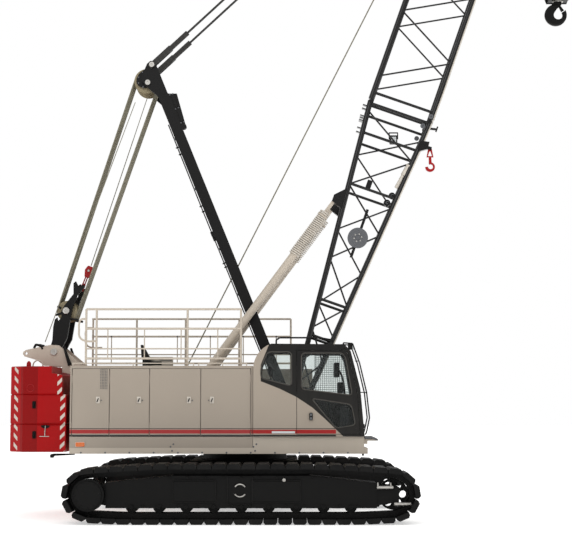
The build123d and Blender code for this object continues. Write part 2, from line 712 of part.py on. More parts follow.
def handrails():
    radius = 19
    rails = (                 # side, rear, front, top, middle rail, lowest rail, posts
        (-1, -2742, -36, 3651, 3310, 2790, (-2742, -2560, -970, -36)),
        (1, -3020, 844, 3651, 3310, 2790, (-3000, -2150, -1200, -160, 844)),
    )
    for side, rear, front, top, middle, low, posts in rails:
        y = side * (deck_half_width - 60)
        pieces = [rod((rear, y, z), (front, y, z), radius) for z in (top, middle, low)]
        pieces += [rod((x, y, house_top + seat), (x, y, top), radius) for x in posts]
        yield fused(pieces)
        y = side * (deck_half_width - 16)
        for x0, x1 in roof_rails:
            pieces = [rod((x0 - 9, y, house_top + 44), (x1 + 9, y, house_top + 44), 9)]
            pieces += [rod((x, y, house_top + seat), (x, y, house_top + 44), 9) for x in (x0, (x0 + x1) / 2, x1)]
            yield fused(pieces)


def exhaust():
    y = deck_half_width - 420
    low, high = house_top + 58, house_top + 238
    body = box(-1990, -1420, y - 110, y + 110, low, high)
    legs = [box(x - 20, x + 20, y - 60, y + 60, house_top + seat, low) for x in (-1900, -1510)]
    stack = plate(((-1860, high), (-1990, high + 230), (-2030, high + 230), (-2010, high - 40), (-1985, high - 40)),
                  y - 90, y + 90)
    return fused([body, stack] + legs)


def roof_height(x):
    """Top of the cab's roof, which falls a little towards the front."""
    start = cab_rear + cab_corner * 0.75
    return cab_roof - 10 * (x - start) / (cab_front_top - 60 - start)


def cab_guards():
    """A bent bar in front of each side of the windscreen, and the grab rail on the roof."""
    y = cab_outer_y + 60
    bar = ((1750, roof_height(1750) + seat), (1750, 3062), (1910, 3050), (2030, 2710), (2150, 2200), (2198, 1760),
           (2150, 1530), (cab_front_bottom + 14, 1470))
    for off in (0, cab_inner_y - cab_outer_y - 120):
        yield fused(rail_run([(a, y + off, c) for a, c in bar], 12))
    rail = ((580, roof_height(580) + seat), (580, 3110), (640, 3150), (1330, 3150), (1560, 3110),
            (1560, roof_height(1560) + seat))
    yield fused(rail_run([(a, y, c) for a, c in rail], 15))


def build_upper():
    keep("upper_frame", upper_frame())
    keep("deck_right", deck(-1))
    keep("deck_left", deck(1))
    for name, block in zip(("lower", "middle", "upper"), counterweight_blocks()):
        keep("counterweight_" + name, block)
    keep("house_right", house(-1, house_front, right_doors))
    keep("house_left", house(1, left_house_front, left_doors))
    for side, doors in ((-1, right_doors), (1, left_doors)):
        for name, rear, front, rear_hinged in doors:
            keep(name, door(side, rear, front, rear_hinged))
    keep("engine", box(-2500, -1100, 800, 1350, deck_top + 60, 2300), *[
        box(x - 40, x + 40, 850, 1300, deck_top + seat, deck_top + 60) for x in (-2300, -1300)])
    for name, x, radius, width, flange in winches:
        keep(name, winch(x, radius, width, flange))
    keep("bail", bail())
    keep("bail_sheaves", *sheaves(bail_shaft_x, bail_shaft_z, bail_sheave_radius, 44, bail_sheave_count, 62, 40 + seat))
    front = cab_front_bottom - 8
    keep("cab_base", fused([
        box(house_front + running, front, -deck_half_width, -bay_half_width, deck_top + seat, cab_bottom - seat),
        box(front - 1, front + 245, 60 - deck_half_width, 380 - deck_half_width, cab_bottom - 75, cab_bottom - 45),
        box(front - 1, front + 60, 60 - deck_half_width, 90 - deck_half_width, cab_bottom - 130, cab_bottom - 70)]))
    keep("cab_shell", cab_shell())
    keep("cab_glass", *cab_glass(), front_glass())
    keep("cab_door", cab_door())
    keep("cab_door_glass", *[pane(p, cab_outer_y + cab_wall / 2) for p in (upper_light, lower_light)])
    base, cushion, back, rest = seat_solids()
    keep("seat_base", base)
    keep("operator_seat", cushion, back, rest)
    keep("cab_consoles", *consoles())
    keep("handrails", *handrails())
    keep("exhaust", exhaust())
    keep("cab_guards", *cab_guards())


# ================================================================ boom
at_boom = Pos(boom_foot_x, 0, boom_foot_z) * Rot(0, -boom_angle, 0)


def base_half_width(u):
    return boom_foot_half + (chord_centre - boom_foot_half) * u / base_length


def base_half_depth(u):
    return foot_depth + (chord_centre - foot_depth) * u / base_length


def top_half_width(u):
    return chord_centre if u < taper_start else chord_centre - (chord_centre - 310) * (u - taper_start) / top_taper


def top_rear(u):
    return chord_centre if u < taper_start else chord_centre - (chord_centre - 290) * (u - taper_start) / top_taper


def top_front(u):
    return -chord_centre if u < taper_start else -chord_centre + (chord_centre - 330) * (u - taper_start) / top_taper


def lattice(stations, width, rear, front, crossed):
    """Zigzag bars on the four faces, those of the two sides crossed or alike; the bars of the rear and
    front faces are set along a little from the sides'."""
    for i, (u0, u1) in enumerate(zip(stations, stations[1:])):
        for side in (-1, 1):
            falls = (i % 2 == 0) != (crossed and side > 0)
            w0, w1 = (rear(u0), front(u1)) if falls else (front(u0), rear(u1))
            yield rod((u0, side * width(u0), w0), (u1, side * width(u1), w1), lace_radius)
        turn = 1 if i % 2 == 0 else -1
        a, b = u0 + lace_offset, u1 + lace_offset
        for edge in (rear, front):
            yield rod((a, turn * width(a), edge(a)), (b, -turn * width(b), edge(b)), lace_radius)


def cross_frame(u, width, rear, front):
    """Four bars that square the boom up."""
    for w in (rear(u), front(u)):
        yield rod((u, -width(u), w), (u, width(u), w), frame_bar_radius)
    for side in (-1, 1):
        yield rod((u, side * width(u), rear(u)), (u, side * width(u), front(u)), frame_bar_radius)


def base_front(u):
    return -base_half_depth(u)


def boom_base():
    start = 330
    pieces = []
    for sy in (-1, 1):
        for sw in (-1, 1):
            ends = [(u, sy * base_half_width(u), sw * base_half_depth(u)) for u in (start, base_length - 30)]
            pieces.append(rod(*ends, chord_radius))
            lug = chord_radius + 14
            pieces.append(box(base_length - 70, base_length, *sorted((sy * (chord_centre - lug), sy * chord_centre)),
                              *sorted((sw * (chord_centre - lug), sw * chord_centre))))
        shape = ((-100, -60), (-60, -100), (120, -110), (560, -150), (560, 150), (120, 110), (-60, 100), (-100, 60))
        ear = plate(shape, sy * boom_foot_half - 35, sy * boom_foot_half + 35)
        pieces.append(ear)
    stations = [share * base_length for share in base_stations]
    pieces += lattice(stations, base_half_width, base_half_depth, base_front, crossed=True)
    for share in base_frames:
        pieces += cross_frame(share * base_length, base_half_width, base_half_depth, base_front)
    body = fused(pieces)
    for sy in (-1, 1):
        body -= cross_rod(0, 0, pin_radius + seat, sy * boom_foot_half - 60, sy * boom_foot_half + 60)
    for sy in (-1, 1):        # open ears that take the backstops' eyes clear of the rear chord
        for off in (-1, 1):
            y = sy * stop_half + off * 46
            eye_w = stop_eye_w()
            ear = ((stop_eye_u - 130, eye_w - stop_eye_rise - 40), (stop_eye_u + 260, eye_w - stop_eye_rise - 10),
                   (stop_eye_u + 70, eye_w + 45), (stop_eye_u - 50, eye_w + 45))
            body = body.fuse(plate(ear, y - 10, y + 10))
            body = body.fuse(cross_rod(stop_eye_u, eye_w, 34, *sorted((y, y + off * 24))))
    return at_boom * fused([body] + list(base_fittings()))


def base_fittings():
    """What is fixed to the base section: joint pins, bridle lugs, hook bracket, guide rollers and reel bar."""
    for sy in (-1, 1):
        edge = chord_centre + chord_radius
        for sw in (-1, 1):
            yield cross_rod(base_length - 45, sw * (chord_centre - 20), joint_pin_radius,
                            *sorted((sy * (edge - 30), sy * (edge + 26))))
        for share in bridle_lugs:
            u = share * base_length
            w = base_half_depth(u)
            yield box(u - 9, u + 9, *sorted((sy * (base_half_width(u) - 50), sy * (base_half_width(u) + 45))), w, w + 118)
    y = -chord_centre
    u, w = hook_bracket
    chord = base_front(u)
    yield rod((u + 345, y, base_front(u + 345) + 20), (u + 385, y, chord - 190), 22)
    yield rod((u + 335, y, chord - 190), (u + 440, y, chord - 190), 14)
    yield plate(((u + 80, chord + 20), (u + 115, chord - 140), (u - 20, chord - 150), (u - 110, chord - 20),
                 (u - 80, chord + 30)), y - 55, y + 45)
    yield plate(((u + 40, chord - 100), (u + 45, w - 22), (u - 15, w - 26), (u - 30, chord - 100)), y - 12, y + 8)
    yield cross_rod(u, w, whip_pin_radius, y - 12, y + 34)
    for share, drop in guide_rollers:
        u = share * base_length
        chord = base_front(u)
        yield cross_rod(u, chord + drop, guide_roller_radius, y + 60, y + 115)
        yield plate(((u - 14, chord), (u + 14, chord), (u + 14, chord + drop + 10), (u - 14, chord + drop + 10)), y + 10, y + 75)
    u = reel_share * base_length
    y = -base_half_width(u)
    yield box(u - 375, u + 560, y - reel_offset, y + 14, -50, 0)
    u = base_frames[3] * base_length
    yield box(u + 10, u + 175, -base_half_width(u) - 12, -base_half_width(u) + 80, 55, 150)


def boom_reel():
    """Flanged reel on its bar at the near side of the base section."""
    u = reel_share * base_length
    y = -base_half_width(u) - reel_offset - seat
    reel = cross_rod(u, -25, reel_radius, y - 12, y).fuse(cross_rod(u, -25, reel_radius, y - 74, y - 62))
    return at_boom * reel.fuse(cross_rod(u, -25, reel_radius - 25, y - 70, y - 4), cross_rod(u, -25, 34, y - 88, y - 70))


def whip_hook():
    """Small hook in a link, pinned to the bracket in front of the boom and hanging plumb."""
    u, w = hook_bracket
    a = radians(boom_angle)
    x, z = boom_foot_x + u * cos(a) - w * sin(a), boom_foot_z + u * sin(a) + w * cos(a)
    y = -chord_centre + 8 + seat
    link = plate(((x - 30, z + 30), (x + 30, z + 30), (x + 62, z - 150), (x - 62, z - 150)), y, y + 24)
    link -= plate(((x - 10, z - 40), (x + 10, z - 40), (x + 38, z - 128), (x - 38, z - 128)), y - 1, y + 25)
    link -= cross_rod(x, z, whip_pin_radius + seat, y - 1, y + 25)
    low = z - 330
    ring = cross_rod(x, low, whip_radius, y - 8, y + 32) - cross_rod(x + 8, low + 6, whip_radius * 0.52, y - 9, y + 33)
    ring -= plate(((x - 8, low + 12), (x - 150, low - 10), (x - 150, low + 130), (x - 30, low + 130)), y - 9, y + 33)
    shank = plate(((x - 22, z - 140), (x + 22, z - 140), (x + 30, low + whip_radius - 22), (x - 22, low + whip_radius - 30)),
                  y - 6, y + 30)
    return fused([link, ring, shank])


def stop_eye_w():
    """The eye stands off the rear chord's outer side."""
    return base_half_depth(stop_eye_u) + chord_radius + stop_eye_rise


def stop_eye_place():
    a = radians(boom_angle)
    w = stop_eye_w()
    return (boom_foot_x + stop_eye_u * cos(a) - w * sin(a), boom_foot_z + stop_eye_u * sin(a) + w * cos(a))


def boom_top():
    end = taper_start + top_taper
    pieces = []
    for sy in (-1, 1):
        for face in (top_rear, top_front):
            pieces.append(rod((base_length + seat, sy * chord_centre, face(base_length)),
                              (taper_start, sy * chord_centre, face(taper_start)), chord_radius))
            block = 2 * chord_radius + 16
            pieces.append(Pos(taper_start, sy * chord_centre, face(taper_start)) * Box(block, block, block))
            pieces.append(rod((taper_start, sy * chord_centre, face(taper_start)),
                              (end, sy * top_half_width(end), face(end)), chord_radius))
        shape = ((end - 150, top_rear(end) + 40), (peak_u + 90, peak_w + 60), (peak_u + 90, 60),
                 (boom_length + 160, -nose_drop - 60), (boom_length, -nose_drop - 150),
                 (boom_length - 150, -nose_drop - 100), (end - 150, top_front(end) - 60))
        pieces.append(plate(shape, *sorted((sy * 290, sy * 330))))
    first = base_length + 460
    count = int((end - first - 150) / top_pitch)
    stations = [first + top_pitch * i for i in range(count + 1)]
    pieces += lattice(stations, top_half_width, top_rear, top_front, crossed=False)
    for u in (base_length + 137, end - 120):
        pieces += cross_frame(u, top_half_width, top_rear, top_front)
    pieces.append(cross_rod(boom_length, -nose_drop, head_pin_radius, -345, 345))
    for s in (-1, 1):
        pieces.append(cross_rod(peak_u, peak_w, peak_pin_radius, *sorted((s * 300, s * (mast_foot_half + 35)))))
    return at_boom * fused(pieces)


def head_position():
    a = radians(boom_angle)
    return (boom_foot_x + boom_length * cos(a) + nose_drop * sin(a),
            boom_foot_z + boom_length * sin(a) - nose_drop * cos(a))


def peak_position():
    a = radians(boom_angle)
    return (boom_foot_x + peak_u * cos(a) - peak_w * sin(a), boom_foot_z + peak_u * sin(a) + peak_w * cos(a))


def build_boom():
    keep("boom_base_section", boom_base())
    keep("boom_top_section", boom_top())
    keep("boom_reel", boom_reel())
    keep("whip_hook", whip_hook())
    x, z = head_position()
    keep("head_sheaves", *sheaves(x, z, head_sheave_radius, head_sheave_width, head_sheave_count, 92,
                                  head_pin_radius + seat))


# ================================================================ mast and stays
mast_angle = 90 + mast_lean
at_mast = Pos(mast_foot_x, 0, mast_foot_z) * Rot(0, -mast_angle, 0)


def mast_point(u, w):
    a = radians(mast_angle)
    return mast_foot_x + u * cos(a) - w * sin(a), mast_foot_z + u * sin(a) + w * cos(a)


def mast():
    """Two box legs with cross ties, and thinner head plates that hold the sheave shaft."""
    half = mast_depth / 2
    foot = ((-80, -50), (-50, -80), (0, -88), (350, -half), (mast_head_u - 400, -half), (mast_head_u - 400, half),
            (350, half), (0, 88), (-50, 80), (-80, 50))
    head = ((mast_head_u - 600, -half + 10), (mast_pin_u - 80, -90), (mast_pin_u + 60, -80), (mast_pin_u + 85, -14),
            (mast_pin_u + 60, 60), (mast_head_u + 80, mast_head_w + 60), (mast_head_u, mast_head_w + 90),
            (mast_head_u - 90, mast_head_w + 60), (mast_head_u - 400, half - 10), (mast_head_u - 600, half - 10))
    pieces = []
    for s in (-1, 1):
        y = s * mast_foot_half
        leg = plate(foot, y - mast_leg_width / 2, y + mast_leg_width / 2)
        leg -= cross_rod(0, 0, pin_radius + seat, y - mast_leg_width, y + mast_leg_width)
        pieces += [leg, plate(head, y - mast_plate / 2, y + mast_plate / 2)]
    inner = mast_foot_half - mast_leg_width / 2 + 1
    for u in (1300, 3100, 4900, 6300):
        pieces.append(box(u - 60, u + 60, -inner, inner, -60, 60))
    shaft = mast_foot_half - mast_plate / 2 + 1
    pieces.append(cross_rod(mast_head_u, mast_head_w, 40, -shaft, shaft))
    near = -mast_foot_half
    low, high = mast_box
    pieces.append(plate(((low + 10, -half + 5), (low, -175), (high - 60, -242), (high, -half + 5)), near - 42, near + 42))
    pieces.append(cross_rod(low - 4, -half - 32, 52, near - 50, near + 50))
    for s in (-1, 1):
        y = s * mast_foot_half
        for u in mast_pegs:
            pieces.append(rod((u, y, half - 5), (u, y, half + 52), 13))
        pieces.append(box(mast_bracket - 45, mast_bracket + 45, y - 30, y + 30, half - 5, half + 48))
        pieces.append(cross_rod(mast_head_u - 70, mast_head_w - 8, 34, *sorted((y, s * (mast_foot_half + mast_plate / 2 + 22)))))
    return at_mast * fused(pieces)


def pendant(side):
    """Fork at the mast, socket, cable, socket and the pair of links at the boom's peak."""
    x0, z0 = mast_point(mast_pin_u, -14)
    x1, z1 = peak_position()
    length = hypot(x1 - x0, z1 - z0)
    angle = degrees(atan2(z1 - z0, x1 - x0))
    y = side * mast_foot_half
    pieces = []
    for off in (-1, 1):
        near, far = sorted((y + off * (mast_plate / 2 + running), y + off * (mast_plate / 2 + running + 18)))
        pieces.append(plate([(-60, -50), (460, -50), (460, 50), (-60, 50)], near, far))
        pieces.append(cross_rod(0, 0, 42, *sorted((y + off * (mast_plate / 2 + running), y + off * (mast_plate / 2 + 40)))))
        bar = plate([(length + 60, -50), (length - 700, -50), (length - 700, 50), (length + 60, 50)],
                    y + off * 20 - 9, y + off * 20 + 9)
        pieces.append(bar - cross_rod(length, 0, peak_pin_radius + seat, y - 60, y + 60))
    reach = mast_plate / 2 + running + 18
    pieces.append(box(400, 480, y - reach, y + reach, -50, 50))
    pieces.append(rod((470, y, 0), (900, y, 0), socket_radius))
    pieces.append(rod((length - 560, y, 0), (length - 900, y, 0), socket_radius))
    pieces.append(rod((850, y, 0), (length - 850, y, 0), pendant_radius))
    return Pos(x0, 0, z0) * Rot(0, -angle, 0) * fused(pieces)


def backstop_length():
    x, z = stop_eye_place()
    return hypot(x - stop_foot_x, z - stop_foot_z)


def backstop_place():
    x, z = stop_eye_place()
    return Pos(stop_foot_x, 0, stop_foot_z) * Rot(0, -degrees(atan2(z - stop_foot_z, x - stop_foot_x)), 0)


def backstop_tube(side):
    y = side * stop_half
    tube = rod((150, y, 0), (stop_tube_length, y, 0), stop_tube_radius) - rod((400, y, 0), (stop_tube_length + 1, y, 0), stop_bore)
    foot = plate([(-70, -60), (200, -60), (200, 60), (-70, 60)], y - 40, y + 40)
    return backstop_place() * (tube.fuse(foot) - cross_rod(0, 0, pin_radius + seat, y - 80, y + 80))


def backstop_rod(side):
    y = side * stop_half
    length = backstop_length()
    bar = rod((length - 2900, y, 0), (length - 330, y, 0), stop_rod_radius)
    bar = bar.fuse(rod((length - 2900, y, 0), (length - 2900 + stop_piston, y, 0), stop_bore - piston_clearance))
    tip = plate([(length - 400, -stop_tip_half), (length, -stop_tip_half), (length, stop_tip_half), (length - 400, stop_tip_half)],
                y - 22, y + 22).fuse(cross_rod(length, 0, stop_tip_half, y - 22, y + 22))
    collar = rod((length - 400, y, 0), (length - 370, y, 0), spring_radius + 25)
    return backstop_place() * fused([bar, tip, collar])


def backstop_spring(side):
    y = side * stop_half
    length = backstop_length()
    outer, inner = spring_radius + 22, spring_radius + 6
    start, stop = length - 1350, length - 400 - seat
    return backstop_place() * (rod((start, y, 0), (stop, y, 0), outer) - rod((start - 1, y, 0), (stop + 1, y, 0), inner))


def build_mast():
    keep("mast", mast())
    x, z = mast_point(mast_head_u, mast_head_w)
    keep("mast_sheaves", *sheaves(x, z, mast_sheave_radius, 44, mast_sheave_count, 62, 40 + seat))
    keep("pendants", pendant(-1), pendant(1))
    keep("backstop_tubes", backstop_tube(-1), backstop_tube(1))
    keep("backstop_rods", backstop_rod(-1), backstop_rod(1))
    keep("backstop_springs", backstop_spring(-1), backstop_spring(1))


# ================================================================ hook block
def bevelled_disc(radius, width, bevel):
    """Round plate on the Y axis with both rims bevelled; a negative bevel widens it into a countersink."""
    half = width / 2
    profile = Polygon((0, -half), (radius - bevel, -half), (radius, -half + abs(bevel)), (radius, half - abs(bevel)),
                      (radius - bevel, half), (0, half), align=None)
    return revolve(Face(profile.faces()[0].outer_wire()), axis=Axis.Y)


def hook_solid():
    """Round back and shank joined by a slanting flank, cut by the opening and by the mouth on the +X side."""
    half = hook_thickness / 2 - hook_chamfer / 2
    flank = ((-hook_offset - 194, 72), (-hook_offset - 60, -100), (shank_half, -100), (shank_half + 20, 100),
             (shank_half, shank_top), (-shank_half, shank_top), (-shank_half, 250))
    throat = ((-12, 133), (-76, 36), (76, 36))
    mouth = ((-12, 133), (hook_bore * 0.7, 40), (130, 78), (150, 150), (shank_half + 160, 150),
             (shank_half + 160, shank_top + 10), (shank_half, shank_top + 10), (shank_half - 12, 190))
    body = Pos(-hook_offset, 0, 0) * bevelled_disc(hook_outer, hook_thickness, hook_chamfer)
    body = body.fuse(plate(flank, -half, half))
    body -= bevelled_disc(hook_bore, hook_thickness + 2, -hook_chamfer)
    for cut in (throat, mouth):
        body -= plate(cut, -hook_thickness, hook_thickness)
    return body.fuse(plate(((10, 165), (52, 175), (112, 92), (62, 60)), -14, 14))


def hook_centre():
    x, z = head_position()
    return x, z - falls + hook_outer


def build_hook():
    x, z = hook_centre()
    keep("hook", Pos(x, 0, z) * hook_solid())
    low = z + hook_gap
    cheeks = []
    for s in (-1, 1):
        shape = [(x - 190, low), (x + 190, low), (x + block_radius, low + 180), (x + block_radius, low + 420),
                 (x + 160, low + block_height), (x - 160, low + block_height), (x - block_radius, low + 420),
                 (x - block_radius, low + 180)]
        cheeks.append(plate(shape, *sorted((s * block_half_width, s * (block_half_width + 30)))))
    cheeks.append(box(x - 180, x - shank_half - seat, -block_half_width - 1, block_half_width + 1, low + 10, low + 110))
    cheeks.append(box(x + shank_half + seat, x + 180, -block_half_width - 1, block_half_width + 1, low + 10, low + 110))
    cheeks.append(cross_rod(x, low + 340, 40, -block_half_width - 1, block_half_width + 1))
    keep("hook_block", fused(cheeks), *sheaves(x, low + 340, 210, 50, 3, 80, 40 + seat))


build_undercarriage()
build_upper()
build_boom()
build_mast()
build_hook()

boxes = [node.bounding_box() for node in nodes.values()]
origin_shift = -(min(b.min.X for b in boxes) + max(b.max.X for b in boxes)) / 2
os.makedirs("parts", exist_ok=True)
for name, node in nodes.items():
    export_step(Pos(origin_shift, 0, 0) * node, "parts/" + name + ".step")
print("origin shift", round(origin_shift, 3))
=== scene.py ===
import json
import math
import bpy
from mathutils import Matrix, Vector


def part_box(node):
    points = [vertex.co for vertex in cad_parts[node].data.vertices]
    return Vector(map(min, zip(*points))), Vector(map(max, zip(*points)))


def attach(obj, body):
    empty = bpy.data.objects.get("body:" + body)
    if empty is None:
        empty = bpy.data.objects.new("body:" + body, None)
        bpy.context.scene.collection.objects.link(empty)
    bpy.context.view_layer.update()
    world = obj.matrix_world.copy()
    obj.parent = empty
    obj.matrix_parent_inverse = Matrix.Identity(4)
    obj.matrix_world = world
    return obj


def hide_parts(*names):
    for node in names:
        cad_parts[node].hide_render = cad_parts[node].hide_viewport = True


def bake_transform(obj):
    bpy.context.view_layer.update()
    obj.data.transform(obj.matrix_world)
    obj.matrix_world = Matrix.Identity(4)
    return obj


# Crawler crane made ready for its portrait: paint, glass, ropes, springs, bolts, lamps and cab fittings.
# Places are written in millimetres from the swing axis on the ground, as on the machine's drawings.

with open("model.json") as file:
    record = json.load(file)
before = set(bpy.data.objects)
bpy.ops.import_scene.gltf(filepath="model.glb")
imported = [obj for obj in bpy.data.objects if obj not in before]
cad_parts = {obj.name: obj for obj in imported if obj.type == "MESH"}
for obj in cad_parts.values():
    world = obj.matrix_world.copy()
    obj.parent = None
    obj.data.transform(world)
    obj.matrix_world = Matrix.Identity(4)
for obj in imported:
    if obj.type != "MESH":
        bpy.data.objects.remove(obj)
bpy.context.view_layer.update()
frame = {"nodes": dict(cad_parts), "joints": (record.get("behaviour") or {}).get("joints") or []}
nodes = frame["nodes"]
jointAt = {j["name"]: Vector(j["pos_m"]) for j in frame["joints"] if "pos_m" in j}
swingX = jointAt["swing"].x
boomAngle, mastAngle = math.radians(70.6), math.radians(112.1)
print("frame loaded:", len(nodes), "nodes")


# ---- small helpers

def spot(x, y, z):
    return Vector((x / 1000 + swingX, y / 1000, z / 1000))


def profile(y, corners, x0=0, z0=0):
    # outline in an upright plane, from the (x, z) of its corners
    return [spot(x0 + x, y, z0 + z) for x, z in corners]


def oblong(x0, x1, z0, z1):
    return (x0, z0), (x1, z0), (x1, z1), (x0, z1)


def along(foot, angle, u, w, y):
    # u runs up a boom or mast from its foot pin, w stands square to it towards the rear
    c, s = math.cos(angle), math.sin(angle)
    return foot + Vector((u * c - w * s, y, u * s + w * c)) / 1000


def onBoom(u, w, y):
    return along(jointAt["boom_luff"], boomAngle, u, w, y)


def onMast(u, w, y):
    return along(jointAt["mast_luff"], mastAngle, u, w, y)


def nodeCentre(name):
    low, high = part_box(name)
    return (low + high) / 2


def deselectAll():
    if bpy.context.object and bpy.context.object.mode != "OBJECT":
        bpy.ops.object.mode_set(mode="OBJECT")
    bpy.ops.object.select_all(action="DESELECT")


def choose(piece):
    deselectAll()
    piece.select_set(True)
    bpy.context.view_layer.objects.active = piece


def turnedTo(way):
    # the turn that points an upright piece along a way
    return Vector(way).to_track_quat("Z", "Y").to_matrix().to_4x4()


def linear(code):
    parts = [int(code[i:i + 2], 16) / 255 for i in (0, 2, 4)]
    return tuple(c / 12.92 if c <= 0.04045 else ((c + 0.055) / 1.055) ** 2.4 for c in parts) + (1.0,)


def addNode(tree, kind, inputs, output=0, **settings):
    node = tree.nodes.new("ShaderNode" + kind)
    for key, value in settings.items():
        setattr(node, key, value)
    for key, value in inputs.items():
        if isinstance(value, bpy.types.NodeSocket):
            tree.links.new(value, node.inputs[key])
        else:
            node.inputs[key].default_value = value
    return node.outputs[output]


def newMaterial(name, **shader):
    material = bpy.data.materials.new(name)
    material.use_nodes = True
    bsdf = material.node_tree.nodes["Principled BSDF"]
    for key, value in shader.items():
        bsdf.inputs[key.replace("_", " ")].default_value = value
    coords = addNode(material.node_tree, "TexCoord", {}, "Object")
    return material, material.node_tree, bsdf, coords


def connect(tree, bsdf, **sockets):
    for key, value in sockets.items():
        tree.links.new(value, bsdf.inputs[key.replace("_", " ")])


# ---- paint and metal

def weathered(tree, coords, colour, dust, amount):
    # dust lies in soft patches low on the machine, and rain draws it down in thin streaks
    height = addNode(tree, "SeparateXYZ", {"Vector": coords}, "Z")
    patches = addNode(tree, "TexNoise", {"Vector": coords, "Scale": 1.4, "Detail": 5.0, "Roughness": 0.6})
    stretched = addNode(tree, "Mapping", {"Vector": coords, "Scale": (9.0, 9.0, 0.6)})
    streaks = addNode(tree, "TexNoise", {"Vector": stretched, "Scale": 1.0, "Detail": 4.0})
    low = addNode(tree, "MapRange", {"Value": height, "From Min": 0.0, "From Max": 3.2, "To Min": 1.0,
                                     "To Max": 0.15})
    spread = addNode(tree, "Math", {0: patches, 1: streaks}, operation="MULTIPLY")
    spread = addNode(tree, "Math", {0: spread, 1: low}, operation="MULTIPLY")
    mask = addNode(tree, "Math", {0: spread, 1: amount}, operation="MULTIPLY")
    return addNode(tree, "Mix", {"Factor": mask, "A": colour, "B": linear(dust)}, "Result",
                   data_type="RGBA"), mask


def sprayed(tree, bsdf, coords, colour, mask, gloss):
    # the spray's orange peel, drawn at 4 mm where the real one is nearer 1 mm; dust takes the shine off
    peel = addNode(tree, "TexNoise", {"Vector": coords, "Scale": 260.0, "Detail": 2.0})
    rough = addNode(tree, "Math", {0: mask, 1: 0.5, 2: gloss}, operation="MULTIPLY_ADD")
    bump = addNode(tree, "Bump", {"Height": peel, "Strength": 0.05, "Distance": 0.001})
    connect(tree, bsdf, Base_Color=colour, Roughness=rough, Normal=bump)


def shaded(tree, coords, code, amount, scale=0.9):
    # slow change of shade over a wide panel
    cloud = addNode(tree, "TexNoise", {"Vector": coords, "Scale": scale, "Detail": 2.0})
    part = addNode(tree, "Math", {0: cloud, 1: amount}, operation="MULTIPLY")
    return addNode(tree, "Mix", {"Factor": part, "A": linear(code), "B": (0, 0, 0, 1)}, "Result",
                   data_type="RGBA")


def between(tree, value, low, high):
    above = addNode(tree, "Math", {0: value, 1: low}, operation="GREATER_THAN")
    below = addNode(tree, "Math", {0: value, 1: high}, operation="LESS_THAN")
    return addNode(tree, "Math", {0: above, 1: below}, operation="MULTIPLY")


def sprayedEnamel(name, code, dust="8f8878", dirt=0.3, gloss=0.36, coat=0.1, shine=0.5):
    # two-pack enamel sprayed on primed steel: one even colour under a thin film of dust
    material, tree, bsdf, coords = newMaterial(name, Coat_Weight=coat, Coat_Roughness=0.2,
                                               Specular_IOR_Level=shine)
    colour, mask = weathered(tree, coords, shaded(tree, coords, code, 0.12), dust, dirt)
    sprayed(tree, bsdf, coords, colour, mask, gloss)
    return material


stripes = {                            # heights in metres of the masked lines along houses and cab
    "upper": (1.566, 1.581, "4a3d38"),
    "red": (1.489, 1.556, "a60a10"),
    "black": (1.437, 1.470, "1b1a19"),
}


def lined(tree, coords, colour, outerY):
    # masked paint lines on the outer side faces, broken where doors and houses part
    y, z = (addNode(tree, "SeparateXYZ", {"Vector": coords}, k) for k in "YZ")
    out = addNode(tree, "Math", {0: y}, operation="ABSOLUTE")
    side = addNode(tree, "Math", {0: out, 1: outerY}, operation="GREATER_THAN")
    for low, high, code in stripes.values():
        mask = addNode(tree, "Math", {0: between(tree, z, low, high), 1: side}, operation="MULTIPLY")
        colour = addNode(tree, "Mix", {"Factor": mask, "A": colour, "B": linear(code)}, "Result",
                         data_type="RGBA")
    return colour


def linedEnamel(name, code):
    # the same enamel with three lines masked and sprayed along it
    material, tree, bsdf, coords = newMaterial(name, Coat_Weight=0.1, Coat_Roughness=0.2)
    colour = lined(tree, coords, shaded(tree, coords, code, 0.1), 1.488)
    colour, mask = weathered(tree, coords, colour, "8f8878", 0.25)
    sprayed(tree, bsdf, coords, colour, mask, 0.36)
    return material


cabDivide = {                          # the paint's edge on the cab's side, as x and z of its bends in mm
    "edge": ((374, 2367), (640, 2262), (930, 2120), (1209, 1935), (1430, 1737), (1609, 1567)),
    "pillar": (311, 2677, 0.404),      # upright edge behind the rear window, and the lean above it
    "lineEnd": 1615,
}


